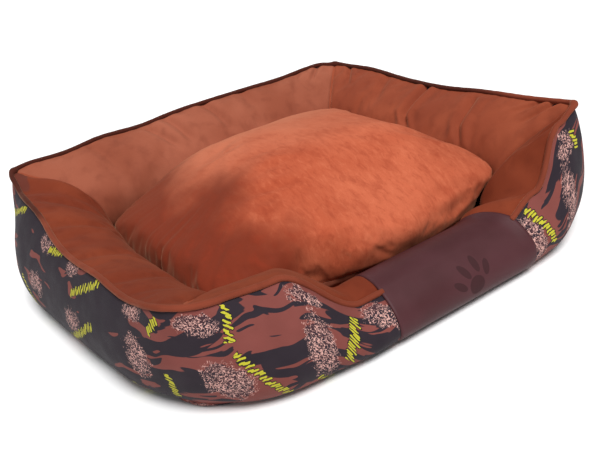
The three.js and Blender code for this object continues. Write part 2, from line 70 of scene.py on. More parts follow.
# half length, half width, and the radius of the back corners, the front left one and the front right one
RINGS = {
    "floor_outer": (0.396, 0.350, 0.195, 0.205, 0.178),
    "belly_low": (0.449, 0.404, 0.240, 0.252, 0.215),
    "belly_high": (0.450, 0.404, 0.230, 0.240, 0.203),
    "rim": (0.382, 0.336, 0.030, 0.075, 0.016),
    "crown": (0.331, 0.285, 0.034, 0.048, 0.030),
    "inner_bulge": (0.192, 0.146, 0.040, 0.040, 0.040),
    "floor_inner": (0.332, 0.286, 0.060, 0.060, 0.060),
    "middle": (0.366, 0.320, 0.050, 0.080, 0.036),
}
# how slim the wall is inside, round the front right corner: s in millimetres, and thousandths
SLIMNESS = [(-1460, 0), (215, 0), (290, 1000), (420, 1000), (600, 0), (1460, 0)]
SLIM_BULGE = 0.038
SLIM_CROWN = 0.020
# the rim's height and the foot's shift along x: each a place s and its value, in millimetres
RIM_HEIGHTS = [
    (-1460, 217), (-1120, 214), (-1070, 212), (-990, 190), (-730, 163), (-500, 165), (-390, 177),
    (-238, 166), (-112, 79), (178, 80), (262, 110), (345, 196), (390, 214), (730, 198), (1070, 207),
    (1120, 212), (1460, 217),
]
FOOT_LEAN = [
    (-1460, 0), (-1330, 0), (-1070, -9), (-900, -9), (-480, 20), (-390, 15), (-240, 0), (240, 0),
    (420, 11), (760, 11), (1070, 0), (1460, 0),
]
pad_low, pad_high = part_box("floor_pad")
MIDDLE = (pad_low + pad_high) / 2  # the walls' own middle, a little off the bounding box's


def smooth(t):
    t = np.clip(t, 0, 1)
    return t * t * (3 - 2 * t)


def mix(a, b, t):
    return a + (b - a) * t


def wrap(s):
    return (np.asarray(s, float) + HALF_ROUND) % (2 * HALF_ROUND) - HALF_ROUND


def between(table, s):
    """The value at s of a table of places and values, in thousandths."""
    places, values = np.array(table).T / 1000
    t = wrap(s)
    i = np.clip(np.searchsorted(places, t), 1, len(places) - 1)
    share = (t - places[i - 1]) / (places[i] - places[i - 1])
    return mix(values[i - 1], values[i], smooth(share))


def outline(half_x, half_y, plain, left, right, s, draw=CORNER_DRAW):
    """x and y of a rounded outline at s."""
    t = wrap(s)
    size = np.abs(t)
    radius = np.where(size >= QUARTER, plain, np.where(t < 0, left, right))
    fold = np.where(size > QUARTER, HALF_ROUND - size, size)
    front = fold <= HALF_FRONT
    nominal = np.where(front, HALF_FRONT, HALF_SIDE)
    straight = np.where(front, half_x, half_y) - radius
    away = np.where(front, fold, QUARTER - fold)
    excess = nominal - (straight + radius * math.pi / 4)
    run = away - excess * (away / nominal) ** draw
    angle = np.maximum(0, run - straight) / radius
    along = np.minimum(run, straight) + radius * np.sin(angle)
    across = radius * (1 - np.cos(angle))
    x = np.where(front, along, half_x - across)
    y = np.where(front, half_y - across, along)
    return np.where(t < 0, -x, x), np.where(size > QUARTER, y, -y)


def ring(name, s, grow=0.0):
    """x and y of one of the wall's outlines at s."""
    half_x, half_y, *radii = RINGS[name]
    x, y = outline(half_x + grow, half_y + grow, *radii, s)
    return x + MIDDLE.x, y + MIDDLE.y


def harmonics(s, seed, first, last, power=1.0):
    """A smooth random wave, about -1 to 1, with first to last ripples in the bed's whole round."""
    rng = np.random.default_rng(seed)
    total, weight = 0.0, 0.0
    for k in range(first, last + 1):
        size = k**-power
        phase = rng.uniform(0, 2 * math.pi)
        total = total + size * np.sin(math.pi * k * np.asarray(s) / HALF_ROUND + phase)
        weight += size * size
    return total / math.sqrt(weight)


def rim_height(s):
    return between(RIM_HEIGHTS, s)


def lowness(s):
    """1 in the entry, where the front wall is low, and 0 where it has its full height."""
    low = np.clip((HIGH_RIM - rim_height(s)) / (HIGH_RIM - LOW_RIM), 0, 1)
    return low * (np.abs(wrap(s)) < HALF_FRONT)


def tallness(s):
    return 1 - smooth(lowness(s) * 1.2)


def rim(s):
    """The rim line, with the slight waves that the sewn edge has."""
    t = wrap(s)
    x, y = ring("rim", t)
    on_left = np.abs(t + QUARTER) < HALF_SIDE
    bow = np.cos((y - MIDDLE.y) / RINGS["rim"][1] * math.pi / 2) ** 2
    x = x - np.where(on_left, RIM_BOW * bow, 0)
    y = y - LOW_RIM_OUT * lowness(t)
    calm = tallness(t)
    z = rim_height(t) + 1.6 * MM * calm * harmonics(t, 3, 9, 22, 0.5)
    out = 1.8 * MM * calm * harmonics(t, 5, 7, 20, 0.5)
    x0, y0 = ring("crown", t)
    away = np.stack([x - x0, y - y0])
    away = away / np.maximum(np.linalg.norm(away, axis=0), 1e-9)
    return np.stack([x + out * away[0], y + out * away[1], z], -1)


def level(name, s, z, shift_x=0.0, shift_y=0.0, grow=0.0):
    x, y = ring(name, s, grow)
    return joined(x + shift_x, y + shift_y, z)


def bezier(a, b, c, d, v):
    v = np.asarray(v)[..., None]
    w = 1 - v
    return w**3 * a + 3 * w * w * v * b + 3 * w * v * v * c + v**3 * d


def outer_skin(s, v):
    """The plain outer wall: v runs from 0 at the floor seam to 1 at the rim."""
    top = rim_height(s)
    lean = between(FOOT_LEAN, s)
    return bezier(
        level("floor_outer", s, FLOOR, lean),
        level("belly_low", s, 0.05 * top, lean),
        level("belly_high", s, 0.62 * top, lean),
        rim(s),
        v,
    )


def inner_skin(s, v):
    """The plain inner wall: v runs from 0 at the rim to 1 at the floor seam inside."""
    top = rim_height(s)
    low = lowness(s)
    slim = between(SLIMNESS, s)
    bulge = mix(mix(0.65, 0.88, low), 0.38, slim) * top
    return bezier(
        rim(s),
        level("crown", s, top + mix(-0.015, 0.026, low) - SLIM_CROWN * slim, 0, -0.030 * low),
        level("inner_bulge", s, bulge, 0, -0.084 * low, SLIM_BULGE * slim),
        level("floor_inner", s, FLOOR),
        v,
    )


# ---- noise
def lattice(i, j, seed):
    n = (i.astype(np.int64) * 374761393 + j.astype(np.int64) * 668265263 + seed * 1274126177) & 0xFFFFFFFF
    n = ((n ^ (n >> 13)) * 1274126177) & 0xFFFFFFFF
    return ((n ^ (n >> 16)) & 0xFFFF) / 32767.5 - 1


def noise(u, v, seed):
    """Smooth value noise from -1 to 1, one lump per unit."""
    u, v = np.broadcast_arrays(np.asarray(u, float), np.asarray(v, float))
    i, j = np.floor(u), np.floor(v)
    a, b = smooth(u - i), smooth(v - j)
    i, j = i.astype(np.int64), j.astype(np.int64)
    low = mix(lattice(i, j, seed), lattice(i + 1, j, seed), a)
    high = mix(lattice(i, j + 1, seed), lattice(i + 1, j + 1, seed), a)
    return mix(low, high, b)


def fbm(u, v, seed, octaves=4):
    return sum(noise(u * 2**k, v * 2**k, seed + k) * 0.5**k for k in range(octaves)) / 1.5


# ---- meshes
def joined(*arrays):
    """The arrays, stretched to one shape and put together as coordinates."""
    return np.stack(np.broadcast_arrays(*arrays), -1)


def bell(x):
    return np.exp(-(x * x))


def grid_normals(p):
    n = np.cross(np.gradient(p, axis=0), np.gradient(p, axis=1))
    return n / np.maximum(np.linalg.norm(n, axis=-1, keepdims=True), 1e-12)


def run_length(p, axis):
    """Distance along one axis of a grid of points, from its first row."""
    steps = np.linalg.norm(np.diff(p, axis=axis), axis=-1)
    start = np.zeros_like(np.take(steps, [0], axis))
    return np.concatenate([start, np.cumsum(steps, axis)], axis)


def new_object(name, data):
    obj = bpy.data.objects.new(name, data)
    bpy.context.scene.collection.objects.link(obj)
    return obj


def mesh_object(name, points, quads, uv=None, shade_smooth=True):
    """A mesh object from points and quads; uv is per point."""
    mesh = bpy.data.meshes.new(name)
    points = np.asarray(points, np.float32).reshape(-1, 3)
    quads = np.asarray(quads, np.int32).reshape(-1, 4)
    mesh.vertices.add(len(points))
    mesh.vertices.foreach_set("co", points.ravel())
    mesh.loops.add(quads.size)
    mesh.loops.foreach_set("vertex_index", quads.ravel())
    mesh.polygons.add(len(quads))
    mesh.polygons.foreach_set("loop_start", np.arange(len(quads), dtype=np.int32) * 4)
    mesh.polygons.foreach_set("use_smooth", np.full(len(quads), shade_smooth))
    mesh.update(calc_edges=True)
    if uv is not None:
        layer = mesh.uv_layers.new(name="flat")
        layer.data.foreach_set("uv", np.asarray(uv, np.float32)[quads.ravel()].ravel())
    mesh.validate()
    return new_object(name, mesh)


def grid_quads(rows, columns, offset=0, flip=False):
    i, j = np.meshgrid(np.arange(rows - 1), np.arange(columns - 1), indexing="ij")
    a = (i * columns + j).ravel() + offset
    quads = np.stack([a, a + columns, a + columns + 1, a + 1], 1)
    return quads[:, ::-1] if flip else quads


def border(rows, columns):
    """The indices round a grid, in the order that its quads' normals see as clockwise."""
    idx = np.arange(rows * columns).reshape(rows, columns)
    return np.concatenate([idx[0, :-1], idx[:-1, -1], idx[-1, :0:-1], idx[:0:-1, 0]])


def shell(name, face, back, uv=None):
    """A closed body between two grids of points; face's normals point out."""
    rows, columns = face.shape[:2]
    count = rows * columns
    ring_in = border(rows, columns)
    after = np.roll(ring_in, -1)
    sides = np.stack([ring_in, after, after + count, ring_in + count], 1)
    quads = np.concatenate(
        [grid_quads(rows, columns), grid_quads(rows, columns, count, flip=True), sides]
    )
    points = np.concatenate([face.reshape(-1, 3), back.reshape(-1, 3)])
    if uv is not None:
        uv = np.concatenate([uv.reshape(-1, 2)] * 2)
    return mesh_object(name, points, quads, uv)


def fill_holes(made):
    bmesh.ops.holes_fill(made, edges=[e for e in made.edges if e.is_boundary], sides=0)


def all_smooth(obj):
    obj.data.polygons.foreach_set("use_smooth", np.ones(len(obj.data.polygons), bool))


def stacked(name, loops, uv=None):
    """A closed body through loops of points, with flat ends."""
    n, count = loops.shape[:2]
    i, j = np.meshgrid(np.arange(n - 1), np.arange(count), indexing="ij")
    a, b = (i * count + j).ravel(), (i * count + (j + 1) % count).ravel()
    obj = mesh_object(name, loops, np.stack([a, b, b + count, a + count], 1), uv)
    made = bmesh.new()
    made.from_mesh(obj.data)
    fill_holes(made)
    bmesh.ops.recalc_face_normals(made, faces=made.faces)
    made.to_mesh(obj.data)
    made.free()
    all_smooth(obj)
    return obj


def vertex_data(mesh, kind="co"):
    """Each vertex's place, or with kind "normal" its normal."""
    values = np.zeros(len(mesh.vertices) * 3)
    mesh.vertices.foreach_get(kind, values)
    return values.reshape(-1, 3)


def put_coordinates(mesh, co):
    mesh.vertices.foreach_set("co", np.asarray(co, np.float32).ravel())
    mesh.update()


def apply_modifiers(obj):
    graph = bpy.context.evaluated_depsgraph_get()
    mesh = bpy.data.meshes.new_from_object(obj.evaluated_get(graph))
    obj.modifiers.clear()
    old = obj.data
    obj.data = mesh
    bpy.data.meshes.remove(old)


def swell(obj, held=None, pressure=4.0, spare=0.03, bend=0.5, frames=18, cap=0.010):
    """Lets cloth settle under its stuffing's pressure, with some spare fabric, and keeps the result."""
    start = vertex_data(obj.data)
    cloth = obj.modifiers.new("cloth", "CLOTH")
    c = cloth.settings
    c.quality = 5
    c.mass = 0.25
    c.tension_stiffness = c.compression_stiffness = 12
    c.shear_stiffness = 4
    c.bending_stiffness = bend
    c.use_pressure = True
    c.uniform_pressure_force = pressure
    c.shrink_min = -spare
    c.effector_weights.gravity = 0
    cloth.collision_settings.use_collision = False
    cloth.collision_settings.use_self_collision = False
    if held is not None:
        group = obj.vertex_groups.new(name="held")
        group.add([int(i) for i in np.flatnonzero(held)], 1.0, "REPLACE")
        c.vertex_group_mass = "held"
    cloth.point_cache.frame_start = 1
    cloth.point_cache.frame_end = frames
    scene = bpy.context.scene
    for frame_number in range(1, frames + 1):
        scene.frame_set(frame_number)
    graph = bpy.context.evaluated_depsgraph_get()
    moved = vertex_data(obj.evaluated_get(graph).data)
    obj.modifiers.clear()
    obj.vertex_groups.clear()
    scene.frame_set(1)
    step = moved - start
    size = np.linalg.norm(step, axis=1, keepdims=True)
    limited = cap * np.tanh(size / cap)
    put_coordinates(obj.data, start + step * limited / np.maximum(size, 1e-9))


# ---- material nodes
class Nodes:
    """Short ways to build a material's nodes."""

    def __init__(self, name):
        self.material = bpy.data.materials.new(name)
        self.material.use_nodes = True
        self.tree = self.material.node_tree
        self.shader = self.tree.nodes["Principled BSDF"]

    def node(self, kind, inputs=None, **settings):
        made = self.tree.nodes.new("ShaderNode" + kind)
        for key, value in settings.items():
            setattr(made, key, value)
        for key, value in (inputs or {}).items():
            self.put(made.inputs[key], value)
        return made

    def put(self, socket, value):
        if hasattr(value, "is_linked"):
            self.tree.links.new(value, socket)
        else:
            socket.default_value = value

    def math(self, operation, *values):
        return self.node("Math", dict(enumerate(values)), operation=operation).outputs[0]

    def plus(self, a, b):
        return self.math("ADD", a, b)

    def minus(self, a, b):
        return self.math("SUBTRACT", a, b)

    def times(self, a, b):
        return self.math("MULTIPLY", a, b)

    def larger(self, a, b):
        return self.math("MAXIMUM", a, b)

    def vector(self, operation, *values):
        return self.node("VectorMath", dict(enumerate(values)), operation=operation).outputs[0]

    def length(self, vector):
        return self.node("VectorMath", {0: vector}, operation="LENGTH").outputs["Value"]

    def parts(self, vector):
        return self.node("SeparateXYZ", {0: vector}).outputs

    def weave(self, vector, fineness):
        """Crossing threads: a wave along times a wave across."""
        along, across = self.parts(vector)[:2]
        return self.times(
            self.math("SINE", self.times(along, fineness)),
            self.math("SINE", self.times(across, fineness)),
        )

    def ramp(self, value, low, high, to_low=0.0, to_high=1.0, kind="SMOOTHSTEP"):
        ends = {"From Min": low, "From Max": high, "To Min": to_low, "To Max": to_high}
        return self.node("MapRange", {"Value": value, **ends}, interpolation_type=kind).outputs[0]

    def mix(self, factor, a, b):
        made = self.node("Mix", data_type="RGBA")
        self.put(made.inputs["Factor"], factor)
        self.put(made.inputs[6], a)
        self.put(made.inputs[7], b)
        return made.outputs[2]

    def uv(self):
        return self.node("UVMap", uv_map="flat").outputs[0]

    def place(self):
        return self.node("TexCoord").outputs["Object"]

    def scaled(self, vector, x, y, z=1.0, turn=0.0):
        settings = {"Vector": vector, "Scale": (x, y, z), "Rotation": (0, 0, turn)}
        return self.node("Mapping", settings).outputs[0]

    def noise(self, vector, scale, detail=2.0, rough=0.5, distortion=0.0):
        settings = {"Scale": scale, "Detail": detail, "Roughness": rough, "Distortion": distortion}
        return self.node("TexNoise", {"Vector": vector, **settings}).outputs["Fac"]

    def shift(self, vector, scale, amount, **settings):
        """The vector, shaken about by smooth noise of up to amount."""
        shake = self.node("TexNoise", {"Vector": vector, "Scale": scale, **settings}).outputs["Color"]
        return self.vector("MULTIPLY_ADD", shake, (amount, amount, 0), vector)

    def patch(self, vector, x, y, half_w, half_h, turn):
        """The vector as seen from a turned ellipse or box: its edge lies 1 away."""
        settings = {"Location": (x, y, 0), "Rotation": (0, 0, turn), "Scale": (half_w, half_h, 1)}
        return self.node("Mapping", {"Vector": vector, **settings}, vector_type="TEXTURE").outputs[0]

    def bump(self, height, strength, distance):
        inputs = {"Height": height, "Strength": strength, "Distance": distance}
        return self.node("Bump", inputs).outputs[0]

    def finish(self, color=None, roughness=None, normal=None, **fixed):
        for key, value in (("Base Color", color), ("Roughness", roughness), ("Normal", normal)):
            if value is not None:
                self.put(self.shader.inputs[key], value)
        for key, value in fixed.items():
            self.shader.inputs[key.replace("_", " ")].default_value = value
        return self.material


def srgb(r, g, b):
    """A colour from its 0 to 255 values as seen on a screen."""
    shares = (r / 255, g / 255, b / 255)
    return (*(c / 12.92 if c <= 0.04045 else ((c + 0.055) / 1.055) ** 2.4 for c in shares), 1.0)


def velour_material(name, low, high, deep, tint=None, sheen=0.34):
    """Short-pile velour: the pile leans this way and that, so patches read lighter and darker."""
    m = Nodes(name)
    place = m.place()
    patches = m.noise(place, 7.0, 2.0, 0.5, 0.5)
    fine = m.noise(m.scaled(place, 1.0, 1.0, 0.45), 38.0, 3.0, 0.55, 0.3)
    pile = m.noise(place, 1400.0, 2.0, 0.5)
    color = m.mix(m.ramp(patches, 0.34, 0.66), low, high)
    color = m.mix(m.ramp(fine, 0.45, 0.75, 0.0, 0.22), color, deep)
    color = m.mix(m.ramp(pile, 0.3, 0.7, 0.0, 0.16), color, deep)
    if tint:
        color = tint(m, color)
    height = m.plus(m.times(fine, 0.5), m.times(pile, 0.3))
    return m.finish(
        color,
        m.ramp(patches, 0.3, 0.7, 0.78, 0.92),
        m.bump(height, 0.30, 0.0012),
        Sheen_Weight=sheen,
        Sheen_Roughness=0.34,
        Sheen_Tint=srgb(236, 176, 140),
        Specular_IOR_Level=0.12,
    )


def piping_painted_shade(m, color):
    """Rust in front and on the left, and darkened to brown along the right and the back: painted shade on
    the same velour.
    """
    place = m.parts(m.uv())[0]
    # painted shade: the piping turns dark brown along the right and the back
    dark = m.times(m.ramp(place, 0.36, 0.50), m.ramp(place, 1.88, 1.82))
    brown = m.mix(m.noise(m.place(), 60.0), srgb(78, 34, 24), srgb(62, 27, 20))
    return m.mix(dark, color, brown)


def corner_tint(m, color):
    """The flat, brown triangle beside the back left corner."""
    local = m.patch(m.uv(), -1.064, -0.014, 0.060, 0.017, 0.05)
    length = m.length(local)
    return m.mix(m.ramp(length, 1.05, 0.85, 0.0, 0.85), color, srgb(92, 45, 36))


def plush_material():
    """Brushed plush: smooth at the back, and pushed about in short streaks to the front; a painted sheen
    makes the back pale tan, and painted shade darkens the left side and the right end.
    """
    m = Nodes("plush")
    place = m.place()
    at = m.parts(place)
    wander = m.times(m.minus(m.noise(place, 7.0, 3.0), 0.5), 0.30)
    back = m.ramp(m.plus(at[1], wander), -0.14, 0.20)
    left = m.ramp(m.minus(wander, at[0]), 0.060, 0.195)
    broad = m.noise(place, 5.0, 2.0, 0.5, 0.6)
    clump = m.noise(m.scaled(place, 34.0, 24.0, 26.0, 0.35), 1.0, 3.0, 0.55, 0.5)
    brush = m.noise(m.scaled(place, 130.0, 48.0, 60.0, 0.35), 1.0, 3.0, 0.6, 0.5)
    pile = m.noise(place, 1000.0, 2.0, 0.55)
    color = m.mix(m.ramp(broad, 0.35, 0.65), srgb(174, 82, 54), srgb(190, 98, 68))
    # painted sheen: the plush turns pale tan toward the back
    color = m.mix(m.times(back, 0.8), color, srgb(186, 112, 84))
    # painted shade: the plush darkens toward the left side
    color = m.mix(m.times(left, 0.9), color, srgb(108, 40, 23))
    # painted shade: the plush darkens toward the right end
    right = m.ramp(m.plus(at[0], wander), 0.13, 0.31, 0.0, 0.42)
    color = m.mix(right, color, srgb(134, 60, 38))
    front = m.ramp(back, 0.0, 1.0, 1.0, 0.15, "LINEAR")
    lit = m.times(front, m.minus(1.0, left))
    for where, tuft, high, most, streak in (
        (front, clump, (0.48, 0.72), 0.36, srgb(142, 54, 34)),
        (front, brush, (0.50, 0.72), 0.30, srgb(130, 48, 30)),
        (lit, brush, (0.50, 0.26), 0.24, srgb(214, 124, 90)),
    ):
        color = m.mix(m.times(where, m.ramp(tuft, *high, 0.0, most)), color, streak)
    color = m.mix(m.ramp(pile, 0.3, 0.7, 0.0, 0.15), color, srgb(110, 38, 22))
    tufts = m.times(m.plus(clump, brush), m.times(front, -0.6))
    height = m.plus(tufts, m.times(pile, 0.25))
    return m.finish(
        color,
        m.ramp(clump, 0.3, 0.7, 0.78, 0.92),
        m.bump(height, 0.30, 0.0022),
        Sheen_Weight=0.28,
        Sheen_Roughness=0.38,
        Sheen_Tint=srgb(228, 176, 140),
        Specular_IOR_Level=0.1,
    )


def leatherette_material():
    m = Nodes("leatherette")
    uv = m.uv()
    place = m.place()
    cells = m.node("TexVoronoi", {"Vector": place, "Scale": 800.0}, feature="DISTANCE_TO_EDGE").outputs[0]
    cloud = m.noise(place, 14.0, 3.0, 0.5)
    color = m.mix(m.ramp(cloud, 0.3, 0.7), srgb(66, 33, 36), srgb(74, 39, 43))
    shape = paw_mask(m, uv)
    color = m.mix(m.times(shape, 0.6), color, srgb(44, 20, 22))
    grain = m.bump(m.ramp(cells, 0.0, 0.12), 0.15, 0.0006)
    rough = m.plus(m.ramp(cloud, 0.3, 0.7, 0.46, 0.54), m.times(shape, 0.2))
    return m.finish(color, rough, grain, Specular_IOR_Level=0.20)


PAW_AT = (0.076, -0.056)  # along the wall, and up from the rim
# four toes and a pad: place across and up, half width, half height and lean
PAW_PARTS = [
    (-0.0300, 0.0060, 0.0058, 0.0125, 0.90),
    (-0.0130, 0.0230, 0.0062, 0.0140, 0.45),
    (0.0110, 0.0280, 0.0062, 0.0140, 0.0),
    (0.0270, 0.0160, 0.0058, 0.0125, -0.45),
    (0.0, -0.0020, 0.0150, 0.0125, 0.35),
]


def paw_mask(m, uv):
    """1 inside the printed paw shape."""
    total = None
    for x, y, half_w, half_h, lean in PAW_PARTS:
        local = m.patch(uv, PAW_AT[0] + x, PAW_AT[1] + y, half_w, half_h, lean)
        length = m.length(local)
        inside = m.ramp(length, 1.06, 0.94)
        total = inside if total is None else m.larger(total, inside)
    return total


# Rows of painted marks on the print: both ends, along the wall and up from the rim, in millimetres
MARK_ROWS = [
    (-1030, -50, -932, -9), (-792, -18, -735, 2), (-682, -47, -592, -8), (-720, -140, -610, -78),
    (-900, -120, -850, -175), (-452, -38, -424, -14), (-434, -100, -438, -145),
    (-530, -140, -520, -190), (-320, -6, -328, -56), (-326, -74, -262, -166), (-138, -26, -164, -96),
    (-220, -150, -150, -172), (226, -4, 250, -90), (361, -20, 358, -54), (430, -120, 460, -50),
    (545, -30, 625, -60), (620, -140, 700, -110), (780, -40, 810, -120), (900, -20, 985, -50),
    (930, -150, 1010, -130), (1110, -60, 1190, -95), (1180, -170, 1250, -150), (1310, -30, 1330, -110),
    (1420, -80, 1505, -50), (1450, -180, 1530, -150), (1610, -30, 1690, -70), (1640, -190, 1700, -150),
    (1770, -40, 1820, -110),
]
MARK_PITCH = 0.0165
MARK_HALF = 0.0095
# A mark's three strokes: place across, which chance shifts it up, how far, and half length
STROKES = [(-0.0053, 1, 0.0010, 0.0066), (0.0002, 2, 0.0040, 0.0034), (0.0055, 0, 0.0025, 0.0050)]
STROKE_HALF_WIDTH = 0.0016
# Stippled patches: place along the wall and up from the rim, half width and height, and lean; lengths
# in millimetres
PATCHES = [
    (-809, -16, 26, 14, 0.2), (-694, -10, 24, 14, 0.1), (-835, -98, 28, 18, 0.4),
    (-683, -95, 26, 20, 0.3), (-950, -125, 24, 20, 0), (-760, -190, 30, 16, 0.2),
    (-489, -16, 24, 13, 0.2), (-488, -78, 22, 30, 0.3), (-369, -24, 30, 13, -0.2),
    (-348, -116, 38, 30, -0.6), (-400, -200, 40, 18, -0.2), (-206, -20, 22, 14, 0),
    (-203, -96, 20, 52, -0.1), (-92, -30, 36, 17, -0.5), (214, -52, 16, 44, 0.1),
    (335, -30, 20, 18, 0.4), (305, -82, 18, 45, -0.1), (500, -90, 30, 40, 0.5), (580, -190, 40, 20, 0),
    (700, -40, 40, 22, 0.2), (760, -180, 36, 22, 0.3), (860, -90, 20, 45, 0.4), (1030, -70, 30, 30, 0),
    (1100, -150, 36, 20, 0.4), (1250, -50, 34, 24, -0.3), (1370, -150, 24, 45, 0.3),
    (1560, -100, 40, 22, 0.2), (1540, -20, 30, 14, 0), (1730, -120, 22, 45, -0.3),
]


def mark_places(m, uv):
    """Where a point lies within its row of marks, in metres along and up it, and 1 inside a row."""
    total, inside = None, None
    for s0, up0, s1, up1 in np.array(MARK_ROWS) * MM:
        length = math.hypot(s1 - s0, up1 - up0)
        half = MARK_PITCH * max(1, round(length / MARK_PITCH)) / 2
        turn = math.atan2(up1 - up0, s1 - s0)
        local = m.patch(uv, (s0 + s1) / 2, (up0 + up1) / 2, half, MARK_HALF, turn)
        along, up = m.parts(m.vector("ABSOLUTE", local))[:2]
        within = m.math("LESS_THAN", m.larger(along, up), 1.0)
        scale = m.node("CombineXYZ", {0: m.times(within, half), 1: m.times(within, MARK_HALF)})
        placed = m.vector("MULTIPLY", local, scale.outputs[0])
        total = placed if total is None else m.vector("ADD", total, placed)
        inside = within if inside is None else m.plus(inside, within)
    return total, inside


def stroke(m, x, y, at_x, at_y, half_length, lean):
    """How far inside a short painted stroke a point is; above 0 is on it."""
    cos, sin = m.math("COSINE", lean), m.math("SINE", lean)
    dx, dy = m.minus(x, at_x), m.minus(y, at_y)
    along = m.plus(m.times(dx, sin), m.times(dy, cos))
    across = m.minus(m.times(dx, cos), m.times(dy, sin))
    beyond = m.larger(m.minus(m.math("ABSOLUTE", along), half_length), 0.0)
    away = m.math("SQRT", m.plus(m.math("POWER", across, 2.0), m.math("POWER", beyond, 2.0)))
    return m.minus(STROKE_HALF_WIDTH, away)


def marks(m, uv):
    """How far inside a painted mark a point is: each is three slanted brush strokes, side by side."""
    local, inside = mark_places(m, m.shift(uv, 190.0, 0.003))
    along, y = m.parts(local)[:2]
    cell = m.math("FLOOR", m.math("DIVIDE", along, MARK_PITCH))
    x = m.minus(m.minus(along, m.times(cell, MARK_PITCH)), MARK_PITCH / 2)
    row = m.math("FLOOR", m.times(m.parts(uv)[0], 9.0))
    address = m.node("CombineXYZ", {0: cell, 1: row}).outputs[0]
    chance = m.node("TexWhiteNoise", {"Vector": address}, noise_dimensions="2D")
    r = m.node("SeparateColor", {0: chance.outputs["Color"]}).outputs
    lean = m.ramp(r[0], 0, 1, 0.42, 0.62, "LINEAR")
    one, two, three = (
        stroke(m, x, y, at_x, m.ramp(r[i], 0, 1, -stray, stray, "LINEAR"), half_length, lean)
        for at_x, i, stray, half_length in STROKES
    )
    return m.minus(m.larger(one, m.larger(two, three)), m.minus(1.0, inside))


def print_material():
    """Printed camouflage in rust and slate, with stippled patches and rows of yellow brush marks."""
    m = Nodes("printed_fabric")
    uv = m.uv()
    place = m.place()
    # dark, flame-like shapes, which run together on the left wall, where painted shade spreads the slate
    bent = m.shift(uv, 11.0, 0.060, Detail=1.5)
    blot = m.noise(m.scaled(bent, 7.0, 24.0, 1.0, 0.95), 1.0, 2.5, 0.45, 0.35)
    twig = m.noise(m.scaled(bent, 13.0, 60.0, 1.0, -0.55), 1.0, 1.5, 0.4, 0.3)
    along = m.parts(uv)[0]
    # painted shade: the slate spreads over the left wall
    left_shade = m.ramp(m.math("ABSOLUTE", m.plus(along, 0.86)), 0.40, 0.26, 0.0, 0.30)
    dark = m.ramp(m.plus(blot, left_shade), 0.500, 0.507)
    dark = m.larger(dark, m.ramp(m.plus(twig, left_shade), 0.585, 0.592))
    dark = m.times(dark, m.ramp(twig, 0.352, 0.360))
    rust = m.mix(m.noise(place, 20.0, 2.0), srgb(132, 71, 65), srgb(108, 56, 50))
    slate = m.mix(m.noise(place, 24.0, 2.0), srgb(48, 38, 46), srgb(34, 28, 35))
    color = m.mix(dark, rust, slate)
    # stippled patches: short pale wriggles on slate
    torn = m.shift(uv, 60.0, 0.040, Detail=3.0, Roughness=0.65)
    nearest = None
    for s, up, half_w, half_h, lean in PATCHES:
        local = m.patch(torn, (s + 20) * MM, (up + 20) * MM, half_w * MM, half_h * MM, lean)
        length = m.length(local)
        nearest = length if nearest is None else m.math("MINIMUM", nearest, length)
    color = m.mix(m.ramp(nearest, 0.98, 0.92, 0.0, 0.85), color, srgb(50, 38, 46))
    worm = m.noise(uv, 205.0, 1.0, 0.5, 1.2)
    thin = m.ramp(nearest, 1.12, 0.60, 0.018, 0.055, "LINEAR")
    line = m.ramp(m.minus(thin, m.math("ABSOLUTE", m.minus(worm, 0.5))), -0.010, 0.010)
    speck = m.ramp(m.noise(uv, 340.0, 0.0), 0.34, 0.42)
    wriggle = m.times(m.times(line, speck), m.ramp(nearest, 1.14, 1.08))
    color = m.mix(wriggle, color, srgb(208, 160, 150))
    mark = marks(m, uv)
    color = m.mix(m.ramp(mark, -0.0016, -0.0011), color, srgb(30, 24, 30))
    color = m.mix(m.ramp(mark, -0.0002, 0.0002), color, srgb(186, 180, 50))
    weave = m.weave(uv, 9000.0)
    color = m.mix(m.ramp(weave, -1, 1, 0.0, 0.10), color, (0.0, 0.0, 0.0, 1))
    return m.finish(
        color,
        m.ramp(m.noise(place, 30.0), 0.3, 0.7, 0.70, 0.84),
        m.bump(weave, 0.12, 0.0003),
        Sheen_Weight=0.03,
        Sheen_Roughness=0.5,
        Specular_IOR_Level=0.16,
    )


def simple_fabric(name, a, b, scale=40.0, fineness=7000.0, rough=0.85):
    """Plain woven cloth, clouded between two colours."""
    m = Nodes(name)
    place = m.place()
    color = m.mix(m.ramp(m.noise(place, scale, 3.0), 0.3, 0.7), a, b)
    return m.finish(color, rough, m.bump(m.weave(place, fineness), 0.15, 0.0004), Specular_IOR_Level=0.25)


def dotted_fabric(name):
    """Coarse dark cloth with small non-slip dots."""
    m = Nodes(name)
    place = m.place()
    weave = m.weave(place, 5200.0)
    pitch = 0.009
    away = [m.minus(m.math("FRACT", m.math("DIVIDE", part, pitch)), 0.5) for part in m.parts(place)[:2]]
    radius = m.math("SQRT", m.plus(m.math("POWER", away[0], 2.0), m.math("POWER", away[1], 2.0)))
    dot = m.ramp(radius, 0.20, 0.15)
    cloth = m.mix(m.noise(place, 60.0, 3.0), srgb(40, 36, 38), srgb(52, 47, 49))
    color = m.mix(dot, cloth, srgb(24, 22, 23))
    height = m.plus(m.times(weave, 0.3), dot)
    rough = m.ramp(dot, 0, 1, 0.88, 0.45)
    return m.finish(color, rough, m.bump(height, 0.4, 0.0006), Specular_IOR_Level=0.3)


def hard_material(name, a, b, rough, metallic):
    """Metal or moulded plastic, slightly worn."""
    m = Nodes(name)
    place = m.place()
    wear = m.noise(place, 700.0, 4.0, 0.6)
    brushed = m.noise(m.scaled(place, 300.0, 3000.0, 3000.0), 1.0, 2.0)
    color = m.mix(m.ramp(wear, 0.35, 0.65), a, b)
    gloss = m.ramp(brushed, 0.3, 0.7, rough - 0.06, rough + 0.12)
    return m.finish(color, gloss, m.bump(brushed, 0.1, 0.0001), Metallic=metallic)


